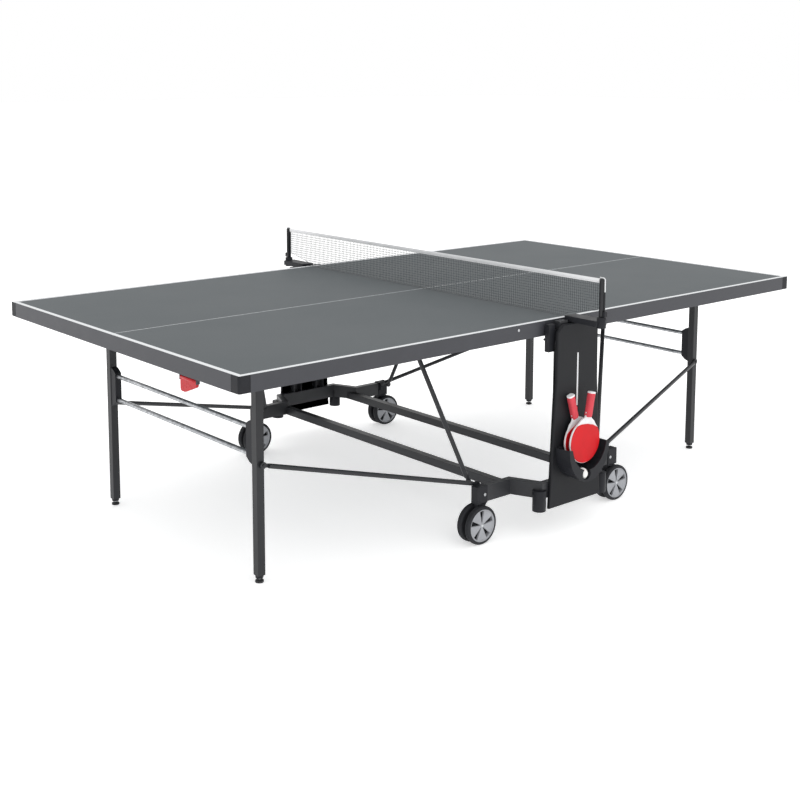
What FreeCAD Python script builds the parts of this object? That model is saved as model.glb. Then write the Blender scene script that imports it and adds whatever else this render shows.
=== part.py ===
"""Folding table tennis table on a wheeled trolley.

Millimetres. X runs along the table, Y across it and Z up. The origin is on the floor
below the middle of the net. Each half folds up about a hinge that slides down the
trolley. The left half is the right half turned by 180 degrees about Z.
"""
import FreeCAD, Part
import math
import os

import Sketcher
from FreeCAD import Placement, Rotation, Vector

doc = FreeCAD.newDocument("table_tennis_table")
sheet = doc.addObject("Spreadsheet::Sheet", "sizes")
nodes = []


# ---------------------------------------------------------------- sizes

class Size:
    """A length that knows its number and the formula that ties it to the sheet."""

    def __init__(self, number, text):
        self.number = number
        self.text = text

    def __add__(self, other):
        return Size(self.number + number_of(other), "(%s + %s)" % (self.text, text_of(other)))

    def __radd__(self, other):
        return Size(number_of(other) + self.number, "(%s + %s)" % (text_of(other), self.text))

    def __sub__(self, other):
        return Size(self.number - number_of(other), "(%s - %s)" % (self.text, text_of(other)))

    def __rsub__(self, other):
        return Size(number_of(other) - self.number, "(%s - %s)" % (text_of(other), self.text))

    def __mul__(self, other):
        return Size(self.number * number_of(other), "(%s * %s)" % (self.text, text_of(other)))

    def __rmul__(self, other):
        return Size(number_of(other) * self.number, "(%s * %s)" % (text_of(other), self.text))

    def __truediv__(self, other):
        return Size(self.number / number_of(other), "(%s / %s)" % (self.text, text_of(other)))

    def __neg__(self):
        return Size(-self.number, "(0 - %s)" % self.text)


def number_of(amount):
    """The plain number of a size or a number."""
    return amount.number if isinstance(amount, Size) else float(amount)


def text_of(amount):
    """The formula of a size, or a number as text."""
    return amount.text if isinstance(amount, Size) else repr(float(amount))


def root(amount):
    """The square root of a size."""
    return Size(math.sqrt(amount.number), "sqrt(%s)" % amount.text)


def size(alias, number):
    """Write one driving dimension in the sheet and return it."""
    row = size.rows = size.rows + 1
    sheet.set("A%d" % row, alias)
    sheet.set("B%d" % row, str(number))
    sheet.setAlias("B%d" % row, alias)
    return Size(float(number), "sizes." + alias)


size.rows = 0

# the whole table
table_length = size("table_length", 2740)
table_width = size("table_width", 1525)
table_height = size("table_height", 760)
half_gap = size("half_gap", 2.5)
board_thick = size("board_thick", 5)

# the frame round each board
rail_depth = size("rail_depth", 52)
rail_width = size("rail_width", 22)
rail_wall = size("rail_wall", 1.2)
rim_thick = size("rim_thick", 3)
cap_side = size("cap_side", 40)
cap_round = size("cap_round", 8)
stiffener_from_side = size("stiffener_from_side", 230)
stiffener_width = size("stiffener_width", 25)
stiffener_depth = size("stiffener_depth", 30)

# legs and feet
leg_from_middle = size("leg_from_middle", 1116)
leg_from_side = size("leg_from_side", 286.5)
leg_side = size("leg_side", 28)
leg_wall = size("leg_wall", 1.5)
leg_pivot_drop = size("leg_pivot_drop", 40)
leg_lift = size("leg_lift", 24)
leg_pin_radius = size("leg_pin_radius", 6)
crossbar_radius = size("crossbar_radius", 8)
crossbar_wall = size("crossbar_wall", 1.5)
crossbar_low = size("crossbar_low", 411)
crossbar_spacing = size("crossbar_spacing", 88)
fitting_reach = size("fitting_reach", 34)
fitting_thick = size("fitting_thick", 24)
fitting_below = size("fitting_below", 28)
fitting_above = size("fitting_above", 30)
fitting_slope = size("fitting_slope", 18)
fitting_toe = size("fitting_toe", 6)
plug_length = size("plug_length", 40)
plug_skirt = size("plug_skirt", 9)
foot_radius = size("foot_radius", 14)
foot_thick = size("foot_thick", 7)
foot_stem_radius = size("foot_stem_radius", 5)
foot_stem_hold = size("foot_stem_hold", 28)
foot_collar = size("foot_collar", 4)

# hinge carriages and their guides
hinge_from_middle = size("hinge_from_middle", 60)
hinge_drop = size("hinge_drop", 14)
hinge_pin_radius = size("hinge_pin_radius", 6)
carriage_width = size("carriage_width", 36)
carriage_depth = size("carriage_depth", 24)
carriage_tall = size("carriage_tall", 47)
guide_wall = size("guide_wall", 2.5)
slide_clearance = size("slide_clearance", 0.3)
pin_clearance = size("pin_clearance", 0.05)
side_clearance = size("side_clearance", 6)
pin_end = size("pin_end", 3)
pin_seat = size("pin_seat", 5)

# struts
strut_radius = size("strut_radius", 8)
strut_wall = size("strut_wall", 1.5)
strut_eye_radius = size("strut_eye_radius", 11)
strut_eye_thick = size("strut_eye_thick", 6)
strut_pin_radius = size("strut_pin_radius", 5)
strut_block_half = size("strut_block_half", 12)
eye_play = size("eye_play", 1)
leg_block_rim = size("leg_block_rim", 4)
support_foot_x = size("support_foot_x", 338)
support_foot_step = size("support_foot_step", 32)
support_top_x = size("support_top_x", 505)
support_top_drop = size("support_top_drop", 44)
support_top_gap = size("support_top_gap", 22)
strut_foot_height = size("strut_foot_height", 197)
leg_strut_foot_x = size("leg_strut_foot_x", 330)
leg_strut_foot_inset = size("leg_strut_foot_inset", 112.5)
ear_gap = size("ear_gap", 2)
ear_half = size("ear_half", 16)
ear_round = size("ear_round", 14)
bush_radius = size("bush_radius", 7)
bush_length = size("bush_length", 8)
leg_strut_back = size("leg_strut_back", 6)
leg_strut_gap = size("leg_strut_gap", 7)

# trolley
bar_thick = size("bar_thick", 25)
bar_tall = size("bar_tall", 55)
bar_bottom = size("bar_bottom", 142)
bar_wall = size("bar_wall", 1.5)
bar_half = size("bar_half", 363)
bar_inset = size("bar_inset", 85.5)
bar_kink_out = size("bar_kink_out", 195)
bar_kink_in = size("bar_kink_in", 148)
bar_bulge = size("bar_bulge", 22.5)
beam_middle = size("beam_middle", 183)
beam_side = size("beam_side", 30)
beam_wall = size("beam_wall", 1.5)
guard_from_middle = size("guard_from_middle", 158)
guard_radius = size("guard_radius", 24)
guard_bottom = size("guard_bottom", 98)
guard_top = size("guard_top", 172)
tie_half = size("tie_half", 84)
tie_depth = size("tie_depth", 12)
tie_tall = size("tie_tall", 40)
tie_low = size("tie_low", 300)
tie_high = size("tie_high", 694)

# casters
wheel_radius = size("wheel_radius", 67.5)
wheel_width = size("wheel_width", 22)
wheel_gap = size("wheel_gap", 18)
wheel_trail = size("wheel_trail", 16)
wheel_rim_radius = size("wheel_rim_radius", 57)
wheel_hub_radius = size("wheel_hub_radius", 10)
wheel_web = size("wheel_web", 6)
wheel_dish = size("wheel_dish", 4)
wheel_windows = 5
axle_radius = size("axle_radius", 5)
window_spread_low = size("window_spread_low", 0.14)
window_spread_high = size("window_spread_high", 0.2)
fork_foot = size("fork_foot", 13)
fork_heel = size("fork_heel", 24)
fork_neck = size("fork_neck", 20)
swivel_radius = size("swivel_radius", 21)
stem_radius = size("stem_radius", 6)
stem_from_end = size("stem_from_end", 25)
boot_wall = size("boot_wall", 3)
boot_length = size("boot_length", 45)
swivel_gap = size("swivel_gap", 0.4)
bolt_radius = size("bolt_radius", 5.5)
bolt_rise = size("bolt_rise", 3)
bolt_inset = size("bolt_inset", 8)

# side panels
panel_depth = size("panel_depth", 12)
panel_wall = size("panel_wall", 2.5)
panel_bottom = size("panel_bottom", 103)
panel_top = size("panel_top", 748)
panel_waist = size("panel_waist", 540)
panel_half_bottom = size("panel_half_bottom", 133)
panel_half_waist = size("panel_half_waist", 106.5)
panel_half_top = size("panel_half_top", 104.5)
panel_corner = size("panel_corner", 26)
panel_round = size("panel_round", 4)

# net
net_height = size("net_height", 152.5)
net_overhang = size("net_overhang", 149.5)
net_thick = size("net_thick", 1.6)
net_tape = size("net_tape", 15)
net_tape_thick = size("net_tape_thick", 4)
net_floor = size("net_floor", 4)
net_end_lift = size("net_end_lift", 40)
post_radius = size("post_radius", 10)
post_foot = size("post_foot", 742)
net_arm_half = size("net_arm_half", 28)
net_arm_top = size("net_arm_top", 769)
arm_clearance = size("arm_clearance", 1)
net_side_clearance = size("net_side_clearance", 8)
net_side_lift = size("net_side_lift", 12)
net_side_slope = size("net_side_slope", 35)
post_crown = size("post_crown", 1)
cord_radius = size("cord_radius", 2)
adjuster_height = size("adjuster_height", 792)
adjuster_half = size("adjuster_half", 9)
socket_wall = size("socket_wall", 6)
cord_gap = size("cord_gap", 0.6)
cord_bend = size("cord_bend", 8)

# bats, ball and their holders
holder_shift = size("holder_shift", -3)
holder_radius = size("holder_radius", 104)
holder_depth = size("holder_depth", 66)
holder_wall = size("holder_wall", 4)
holder_lip = size("holder_lip", 14)
holder_middle = size("holder_middle", 319)
holder_bottom = size("holder_bottom", 193)
bat_radius = size("bat_radius", 75)
bat_blade_thick = size("bat_blade_thick", 11)
bat_handle_length = size("bat_handle_length", 100)
bat_handle_width = size("bat_handle_width", 28)
bat_handle_thick = size("bat_handle_thick", 23)
bat_height = size("bat_height", 331)
bat_spacing = size("bat_spacing", 24)
bat_front_tilt = size("bat_front_tilt", 11)
bat_back_tilt = size("bat_back_tilt", -16.5)
ball_radius = size("ball_radius", 20)
ball_height = size("ball_height", 219)
ball_shift = size("ball_shift", -16)
socket_rise = size("socket_rise", 8)
socket_clearance = size("socket_clearance", 0.6)

# latch and release lever
latch_x = size("latch_x", 104)
latch_drop = size("latch_drop", 38)
latch_shaft_radius = size("latch_shaft_radius", 4)
latch_hub_radius = size("latch_hub_radius", 8)
latch_arm = size("latch_arm", 38)
latch_plate = size("latch_plate", 3.6)
striker_x = size("striker_x", 124)
striker_radius = size("striker_radius", 4)
latch_gap = size("latch_gap", 0.8)
latch_inset = size("latch_inset", 8)
latch_tooth = size("latch_tooth", 5)
latch_crank = size("latch_crank", 18)
housing_start = size("housing_start", 12)
housing_length = size("housing_length", 31)
housing_drop = size("housing_drop", 54)
housing_rim = size("housing_rim", 5)
lever_from_side = size("lever_from_side", 282.5)
lever_width = size("lever_width", 92)
lever_length = size("lever_length", 42)
lever_thick = size("lever_thick", 9)
lever_round = size("lever_round", 9)
lever_nose = size("lever_nose", 0.28)
lever_cut = size("lever_cut", 0.62)
lever_drop = size("lever_drop", 10)
lever_pin_radius = size("lever_pin_radius", 3)
lever_barrel = size("lever_barrel", 6.5)
lever_play = size("lever_play", 0.5)
ear_drop = size("ear_drop", 17)
cable_radius = size("cable_radius", 2.5)
cable_gap = size("cable_gap", 3)
cable_bend = size("cable_bend", 30)

# worked out from the driving dimensions
half_length = table_length / 2
half_width = table_width / 2
rail_bottom = table_height - rail_depth
board_bottom = table_height - board_thick
hinge_height = table_height - hinge_drop
leg_middle = half_width - leg_from_side
leg_pivot_height = table_height - leg_pivot_drop
leg_top = leg_pivot_height + leg_side / 2
stiffener_middle = half_width - stiffener_from_side
stiffener_in = stiffener_middle - stiffener_width / 2
stiffener_out = stiffener_middle + stiffener_width / 2
crossbar_high = crossbar_low + crossbar_spacing
guide_face = half_width + side_clearance
carriage_face = guide_face + slide_clearance
guide_back = carriage_face + carriage_depth + slide_clearance
guide_top = hinge_height + carriage_tall / 4
bar_y = half_width - bar_inset
bar_bulge_y = half_width + bar_bulge
bar_top = bar_bottom + bar_tall
tie_back = guide_back + guide_wall
panel_face = tie_back + tie_depth + panel_wall
panel_back = panel_face - panel_depth
leg_strut_foot_y = half_width - leg_strut_foot_inset
support_foot_y = leg_strut_foot_y - support_foot_step
support_top_y = stiffener_in - support_top_gap
support_top_height = table_height - support_top_drop
leg_strut_top_y = leg_middle + leg_side / 2 + leg_strut_gap
leg_strut_top_x = leg_from_middle - leg_strut_back
post_y = half_width + net_overhang
stem_x = bar_half - stem_from_end
wheel_x = stem_x + wheel_trail
net_bottom = table_height + net_floor
ball_y = panel_face + holder_depth - ball_radius - 2
lever_pivot_x = half_length - rail_width / 2
lever_pivot_z = rail_bottom - lever_drop

# the closed linkage: both struts keep their length when the half stands upright
support_run = support_top_x - support_foot_x
support_rise = support_top_height - strut_foot_height
support_top_x_folded = hinge_from_middle + support_top_drop - hinge_drop
support_rise_folded = root(
    support_run * support_run + support_rise * support_rise
    - (support_foot_x - support_top_x_folded) * (support_foot_x - support_top_x_folded))
hinge_folded = strut_foot_height + support_rise_folded - (support_top_x - hinge_from_middle)
leg_pivot_x_folded = hinge_from_middle + leg_pivot_drop - hinge_drop
leg_pivot_folded = hinge_folded + leg_from_middle - hinge_from_middle
leg_rise = leg_pivot_folded - leg_pivot_height
strut_run = leg_strut_top_x - leg_strut_foot_x
strut_run_folded = leg_pivot_x_folded - leg_strut_back - leg_strut_foot_x
leg_strut_top_height = strut_foot_height + (
    strut_run * strut_run - strut_run_folded * strut_run_folded - leg_rise * leg_rise) / (2 * leg_rise)


# ---------------------------------------------------------------- ways to make a piece

turned = {"x": Rotation(Vector(0, 1, 0), 90), "y": Rotation(Vector(1, 0, 0), -90), "z": Rotation()}
half_turn = Placement(Vector(), Rotation(Vector(0, 0, 1), 180))


def bind(item, prop, amount):
    """Tie a property to its formula."""
    item.setExpression(prop, text_of(amount))


def block(name, across, along, up):
    """A block between two values on each of X, Y and Z."""
    item = doc.addObject("Part::Box", name)
    for prop, letter, (low, high) in zip(("Length", "Width", "Height"), "xyz", (across, along, up)):
        bind(item, prop, high - low)
        bind(item, "Placement.Base." + letter, low)
    return item


def rod(name, radius, start, length, along="z"):
    """A cylinder from a start point along X, Y or Z."""
    item = doc.addObject("Part::Cylinder", name)
    item.Placement = Placement(Vector(), turned[along])
    bind(item, "Radius", radius)
    bind(item, "Height", length)
    for letter, amount in zip("xyz", start):
        bind(item, "Placement.Base." + letter, amount)
    return item


def cone(name, low_radius, high_radius, start, length):
    """A cone that stands on a start point."""
    item = doc.addObject("Part::Cone", name)
    bind(item, "Radius1", low_radius)
    bind(item, "Radius2", high_radius)
    bind(item, "Height", length)
    for letter, amount in zip("xyz", start):
        bind(item, "Placement.Base." + letter, amount)
    return item


def ball(name, radius, middle):
    """A full sphere."""
    item = doc.addObject("Part::Sphere", name)
    bind(item, "Radius", radius)
    for letter, amount in zip("xyz", middle):
        bind(item, "Placement.Base." + letter, amount)
    return item


def fuse(name, *pieces):
    """Several touching pieces as one solid."""
    item = doc.addObject("Part::MultiFuse", name)
    item.Shapes = list(pieces)
    return item


def group(name, *pieces):
    """Several separate solids under one name."""
    item = doc.addObject("Part::Compound", name)
    item.Links = list(pieces)
    return item


def cut(name, base, *tools):
    """A piece with one or more others taken away."""
    item = doc.addObject("Part::Cut", name)
    item.Base = base
    item.Tool = tools[0] if len(tools) == 1 else group(name + "_tools", *tools)
    return item


def mirror(piece, normal=(0, 1, 0)):
    """The mirror image of a piece, by default across the table's long middle plane."""
    item = doc.addObject("Part::Mirroring", piece.Name + "_mirror")
    item.Source = piece
    item.Normal = Vector(*normal)
    return item


def both_sides(piece):
    """A piece and its image on the other side of the table."""
    return group(piece.Name + "_pair", piece, mirror(piece))


def all_corners(piece):
    """A piece and its images in the other three corners."""
    pair = both_sides(piece)
    return group(piece.Name + "_four", pair, mirror(pair, (1, 0, 0)))


def draw_outline(sketch, points):
    """A closed outline whose corners are tied by their distances from the origin."""
    first = sketch.GeometryCount
    corners = [Vector(number_of(across), number_of(up), 0) for across, up in points]
    for index, corner in enumerate(corners):
        sketch.addGeometry(Part.LineSegment(corner, corners[(index + 1) % len(corners)]))
    for index, point in enumerate(points):
        following = first + (index + 1) % len(points)
        sketch.addConstraint(Sketcher.Constraint("Coincident", first + index, 2, following, 1))
        for kind, amount in zip(("DistanceX", "DistanceY"), point):
            tie = Sketcher.Constraint(kind, -1, 1, first + index, 1, number_of(amount))
            number = sketch.addConstraint(tie)
            sketch.setExpression("Constraints[%d]" % number, text_of(amount))


def draw_circle(sketch, middle, radius):
    """A circle tied by its centre's distances from the origin and its radius."""
    centre = Vector(number_of(middle[0]), number_of(middle[1]), 0)
    circle = sketch.addGeometry(Part.Circle(centre, Vector(0, 0, 1), number_of(radius)))
    for kind, amount in zip(("DistanceX", "DistanceY"), middle):
        number = sketch.addConstraint(Sketcher.Constraint(kind, -1, 1, circle, 3, number_of(amount)))
        sketch.setExpression("Constraints[%d]" % number, text_of(amount))
    number = sketch.addConstraint(Sketcher.Constraint("Radius", circle, number_of(radius)))
    sketch.setExpression("Constraints[%d]" % number, text_of(radius))


def new_sketch(body, plane, start=0):
    """A sketch on one of a body's own origin planes, moved along its normal."""
    sketch = body.newObject("Sketcher::SketchObject", body.Name + "_sketch")
    support = [feature for feature in body.Origin.OriginFeatures if feature.Role == plane]
    sketch.AttachmentSupport = (support[0], "")
    sketch.MapMode = "FlatFace"
    sketch.setExpression("AttachmentOffset.Base.z", text_of(start))
    return sketch


def profile(name, plane, outlines, length, start=0, circles=()):
    """A body padded from closed outlines. The pad runs +X, -Y or +Z from its plane."""
    body = doc.addObject("PartDesign::Body", name)
    sketch = new_sketch(body, plane, start)
    for points in outlines:
        draw_outline(sketch, points)
    for middle, radius in circles:
        draw_circle(sketch, middle, radius)
    pad = body.newObject("PartDesign::Pad", name + "_pad")
    pad.Profile = sketch
    bind(pad, "Length", length)
    return body


def rectangle(across, up, wall=0):
    """The corners of a rectangle between two values each way, drawn in by a wall."""
    left, right = across[0] + wall, across[1] - wall
    low, high = up[0] + wall, up[1] - wall
    return [(left, low), (right, low), (right, high), (left, high)]


def round_edges(body, radius, wanted):
    """Round the edges of a body that a test picks."""
    doc.recompute()
    base = body.Tip
    names = ["Edge%d" % (index + 1) for index, edge in enumerate(base.Shape.Edges) if wanted(edge)]
    fillet = body.newObject("PartDesign::Fillet", body.Name + "_fillet")
    fillet.Base = (base, names)
    bind(fillet, "Radius", radius)
    body.Tip = fillet
    return body


def runs_along(edge, axis):
    """Whether a straight edge runs along an axis, given as 0, 1 or 2."""
    if len(edge.Vertexes) != 2:
        return False
    step = edge.Vertexes[1].Point - edge.Vertexes[0].Point
    return step.Length > 0 and abs(step[axis]) > 0.999 * step.Length


def solid(name, shape):
    """A piece whose slanted or bent shape is set directly."""
    item = doc.addObject("Part::Feature", name)
    item.Shape = shape
    return item


def node(name, *pieces, left=False):
    """Name one sub-part. The left half's sub-parts are turned about Z."""
    item = group(name, *pieces)
    item.Label = name
    if left:
        item.Placement = half_turn
    nodes.append(item)
    return item


# ---------------------------------------------------------------- one half of the table

def board(side, left):
    """The playing board: a flat laminate sheet held inside the frame's rim."""
    width = half_width - rim_thick
    sheet_of_board = block("sheet", (half_gap, half_length - rim_thick), (-width, width),
                           (board_bottom, table_height))
    node(side + "_board", sheet_of_board, left=left)


def rail_section(outer, sign=1):
    """A box tube with a rim lip on its outer side, as two closed outlines."""
    inner = outer - sign * rail_width
    lip = outer - sign * rim_thick
    shell = [(inner, rail_bottom), (outer, rail_bottom), (outer, table_height), (lip, table_height),
             (lip, board_bottom), (inner, board_bottom)]
    hollow = [(inner + sign * rail_wall, rail_bottom + rail_wall),
              (outer - sign * rail_wall, rail_bottom + rail_wall),
              (outer - sign * rail_wall, board_bottom - rail_wall),
              (inner + sign * rail_wall, board_bottom - rail_wall)]
    return [shell, hollow]


def side_rails(side, left):
    """The two long rails, drilled for the hinge pin. The far one is drilled for the latch shaft."""
    far = profile("side_rail", "YZ_Plane", rail_section(half_width), half_length - cap_side - half_gap,
                  half_gap)
    hinge_hole = rod("hinge_hole", hinge_pin_radius + pin_clearance,
                     (hinge_from_middle, half_width - 2 * rail_width, hinge_height), 3 * rail_width, "y")
    latch_hole = rod("latch_hole", latch_shaft_radius + pin_clearance,
                     (latch_x, half_width - 2 * rail_width, table_height - latch_drop), 3 * rail_width, "y")
    near = cut("near_rail", mirror(far), mirror(hinge_hole))
    node(side + "_side_rails", cut("far_rail", far, hinge_hole, latch_hole), near, left=left)


def cross_rails(side, left):
    """The end rail with the lever's ears under it, and the plain rail at the middle of the table."""
    end_length = table_width - 2 * cap_side
    end_rail = profile("end_rail", "XZ_Plane", rail_section(half_length), end_length, -(end_length / 2))
    middle_half = half_width - rail_width
    tube = (half_gap, half_gap + rail_width)
    height = (rail_bottom, board_bottom)
    middle_rail = profile("middle_rail", "XZ_Plane", [rectangle(tube, height),
                          rectangle(tube, height, rail_wall)], middle_half * 2, -middle_half)
    lever_y = half_width - lever_from_side
    ear_thick = rail_wall * 1.5
    ears = []
    reach = lever_width / 2 + lever_play
    for low in (lever_y - reach - ear_thick, lever_y + reach):
        ears.append(block("ear", (lever_pivot_x - lever_barrel, lever_pivot_x + lever_barrel),
                          (low, low + ear_thick), (rail_bottom - ear_drop, rail_bottom)))
    pin = rod("lever_pin", lever_pin_radius, (lever_pivot_x, lever_y - reach - ear_thick, lever_pivot_z),
              2 * (reach + ear_thick), "y")
    node(side + "_cross_rails", fuse("end_rail_welded", end_rail, *ears, pin), middle_rail, left=left)


def stiffeners(side, left):
    """Two tubes below the board. They carry the hinges of the legs and of the support struts."""
    across = (stiffener_in, stiffener_out)
    height = (board_bottom - stiffener_depth, board_bottom)
    tube = profile("stiffener", "YZ_Plane",
                   [rectangle(across, height), rectangle(across, height, rail_wall)],
                   half_length - rail_width - half_gap - rail_width, half_gap + rail_width)
    strut_face = support_top_y + strut_eye_thick / 2 + eye_play
    strut_block = block("strut_block",
                        (support_top_x - strut_block_half, support_top_x + strut_block_half),
                        (strut_face, stiffener_in), (support_top_height - 8, board_bottom))
    strut_pin_start = support_top_y - strut_eye_thick / 2 - pin_end
    strut_pin = rod("strut_pin", strut_pin_radius, (support_top_x, strut_pin_start, support_top_height),
                    strut_face - strut_pin_start, "y")
    leg_face = leg_middle + leg_side / 2 + eye_play
    block_half = leg_side / 2 + leg_block_rim
    leg_block = block("leg_block", (leg_from_middle - block_half, leg_from_middle + block_half),
                      (leg_face, stiffener_in), (leg_pivot_height - leg_side / 2, board_bottom))
    leg_pin_start = leg_middle - leg_side / 2 - pin_seat
    leg_pin = rod("leg_pin", leg_pin_radius, (leg_from_middle, leg_pin_start, leg_pivot_height),
                  leg_face - leg_pin_start, "y")
    welded = fuse("stiffener_welded", tube, strut_block, strut_pin, leg_block, leg_pin)
    node(side + "_stiffeners", both_sides(welded), left=left)


def corner_caps(side, left):
    """Moulded corner protectors: each joins two rails and wraps the board's corner."""
    corner_x = (half_length - cap_side, half_length)
    corner_y = (half_width - cap_side, half_width)
    cap = profile("cap", "XY_Plane", [rectangle(corner_x, corner_y)], rail_depth, rail_bottom)
    outer = number_of(half_length), number_of(half_width)
    round_edges(cap, cap_round, lambda edge: runs_along(edge, 2)
                and abs(edge.Vertexes[0].X - outer[0]) < 0.01 and abs(edge.Vertexes[0].Y - outer[1]) < 0.01)
    recess = block("recess", (half_length - cap_side - 1, half_length - rim_thick),
                   (half_width - cap_side - 1, half_width - rim_thick), (board_bottom, table_height + 1))
    node(side + "_corner_caps", both_sides(cut("cap_cut", cap, recess)), left=left)


def carriage(side, left):
    """Two guide blocks with the hinge pins that pass through the side rails."""
    low = hinge_height - carriage_tall * 3 / 4
    slider = block("slider",
                   (hinge_from_middle - carriage_width / 2, hinge_from_middle + carriage_width / 2),
                   (carriage_face, carriage_face + carriage_depth), (low, low + carriage_tall))
    pin_start = half_width - rail_width - pin_end
    pin = rod("hinge_pin", hinge_pin_radius, (hinge_from_middle, pin_start, hinge_height),
              carriage_face - pin_start + pin_seat, "y")
    node(side + "_carriage", both_sides(fuse("slider_and_pin", slider, pin)), left=left)


def legs(side, left):
    """Two square tube legs that hang from the stiffeners, each with the pin for its strut."""
    across = (leg_from_middle - leg_side / 2, leg_from_middle + leg_side / 2)
    along = (leg_middle - leg_side / 2, leg_middle + leg_side / 2)
    tube = profile("leg", "XY_Plane", [rectangle(across, along), rectangle(across, along, leg_wall)],
                   leg_top - leg_lift, leg_lift)
    round_edges(tube, leg_wall * 0.9, lambda edge: runs_along(edge, 2) and on_outside(edge, across, along))
    hole = rod("leg_pin_hole", leg_pin_radius + pin_clearance, (leg_from_middle, leg_middle - leg_side,
               leg_pivot_height), leg_side * 2, "y")
    pin_face = leg_middle + leg_side / 2
    pin = rod("leg_strut_pin", strut_pin_radius,
              (leg_strut_top_x, pin_face - leg_wall, leg_strut_top_height),
              leg_strut_gap + strut_eye_thick / 2 + pin_end + leg_wall, "y")
    node(side + "_legs", both_sides(fuse("leg_and_pin", cut("leg_drilled", tube, hole), pin)), left=left)


def on_outside(edge, across, along):
    """Whether an upright edge stands on the outer corners of a rectangle."""
    point = edge.Vertexes[0].Point
    near_x = min(abs(point.x - number_of(amount)) for amount in across) < 0.01
    near_y = min(abs(point.y - number_of(amount)) for amount in along) < 0.01
    return near_x and near_y


def leg_crossbars(side, left):
    """Two round bars between the legs."""
    reach = leg_middle - leg_side / 2 - fitting_reach / 2
    bars = []
    for height in (crossbar_low, crossbar_high):
        start = (leg_from_middle, -reach, height)
        bar = rod("crossbar", crossbar_radius, start, reach * 2, "y")
        bore = rod("bore", crossbar_radius - crossbar_wall, start, reach * 2, "y")
        bars.append(cut("crossbar_tube", bar, bore))
    node(side + "_leg_crossbars", *bars, left=left)


def leg_fittings(side, left):
    """Moulded sockets that hold the crossbars to the legs, and the plugs in the legs' lower ends."""
    face = leg_middle - leg_side / 2
    tip = face - fitting_reach
    low, high = crossbar_low - fitting_below, crossbar_high + fitting_above
    waist = face - fitting_reach / 2
    corners = [(face, low), (face, high), (waist, high - fitting_toe), (tip, high - fitting_slope),
               (tip, crossbar_low - crossbar_radius), (waist, low + fitting_toe)]
    socket = profile("socket", "YZ_Plane", [corners], fitting_thick, leg_from_middle - fitting_thick / 2)
    bores = [rod("crossbar_seat", crossbar_radius, (leg_from_middle, tip - 1, height),
                 fitting_reach / 2 + 1, "y") for height in (crossbar_low, crossbar_high)]
    plug_half = leg_side / 2 - leg_wall
    plug = block("plug", (leg_from_middle - plug_half, leg_from_middle + plug_half),
                 (leg_middle - plug_half, leg_middle + plug_half), (leg_lift, leg_lift + plug_length))
    skirt = cone("skirt", plug_half, leg_side / 2, (leg_from_middle, leg_middle, leg_lift - plug_skirt),
                 plug_skirt)
    seat = rod("stem_seat", foot_stem_radius + pin_clearance, (leg_from_middle, leg_middle, 0),
               leg_lift + 2 * plug_length)
    fitted_plug = cut("plug_drilled", fuse("plug_and_skirt", plug, skirt), seat)
    node(side + "_leg_fittings", both_sides(cut("socket_bored", socket, *bores)), both_sides(fitted_plug),
         left=left)


def feet(side, left):
    """Screw feet, one to a leg: a pad, a neck and a stem that turns out of the plug."""
    for row, sign in (("far", 1), ("near", -1)):
        middle = leg_middle * sign
        pad = rod("foot_pad", foot_radius, (leg_from_middle, middle, 0), foot_thick)
        collar = cone("collar", foot_radius * 0.7, foot_stem_radius, (leg_from_middle, middle, foot_thick),
                      foot_collar)
        stem = rod("foot_stem", foot_stem_radius, (leg_from_middle, middle, foot_thick),
                   leg_lift + foot_stem_hold - foot_thick)
        turned_row = {"far": "near", "near": "far"}[row] if left else row
        node("foot_%s_%s" % (side, turned_row), fuse("foot", pad, collar, stem), left=left)


def strut(start, end, radius, eye_thick):
    """A round tube with flattened eyes at both ends, from start to end."""
    step = end - start
    unit = Vector(step).normalize()
    trim = 2.4 * radius
    tube = Part.makeCylinder(radius, step.Length - 2 * trim, start + unit * trim, unit)
    shape = tube
    for point, inward in ((start, unit), (end, unit * -1)):
        shape = shape.fuse(eye_plate(point, inward, eye_thick))
    margin = trim + 2.5 * radius
    bore_radius = radius - number_of(strut_wall)
    bore = Part.makeCylinder(bore_radius, step.Length - 2 * margin, start + unit * margin, unit)
    return shape.removeSplitter().cut(bore)


def eye_plate(point, inward, thick):
    """A flat plate across Y with a round end, that reaches into the strut's tube."""
    radius = number_of(strut_eye_radius)
    flat = Vector(inward.x, 0, inward.z).normalize()
    side = Vector(-flat.z, 0, flat.x)
    low = Vector(0, -thick / 2, 0)
    disc = Part.makeCylinder(radius, thick, point + low, Vector(0, 1, 0))
    reach = 3.4 * number_of(strut_radius)
    width = 1.6 * number_of(strut_radius)
    corners = [point + side * width / 2, point - side * width / 2,
               point + flat * reach - side * width / 2, point + flat * reach + side * width / 2]
    corners.append(corners[0])
    wire = Part.makePolygon([corner + low for corner in corners])
    return disc.fuse(Part.Face(wire).extrude(Vector(0, thick, 0)))


def drilled(shape, point, radius, thick):
    """A shape with a hole along Y."""
    hole = Part.makeCylinder(radius, thick * 3, point - Vector(0, thick * 1.5, 0), Vector(0, 1, 0))
    return shape.cut(hole)


def support_struts(side, left):
    """The pair of struts that hold the half at table height. Each lower end rests at the trolley."""
    thick = number_of(strut_eye_thick)
    low = Vector(*[number_of(v) for v in (support_foot_x, support_foot_y, strut_foot_height)])
    high = Vector(*[number_of(v) for v in (support_top_x, support_top_y, support_top_height)])
    shape = strut(low, high, number_of(strut_radius), thick)
    shape = drilled(shape, high, number_of(strut_pin_radius + pin_clearance), thick)
    face = Vector(0, thick / 2, 0)
    bush = Part.makeCylinder(number_of(bush_radius), number_of(bush_length), low + face, Vector(0, 1, 0))
    head = Part.makeCylinder(number_of(bush_radius), 3, low - face, Vector(0, -1, 0))
    shape = shape.fuse([bush, head]).removeSplitter()
    node(side + "_support_struts", both_sides(solid("support_strut", shape)), left=left)


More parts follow.
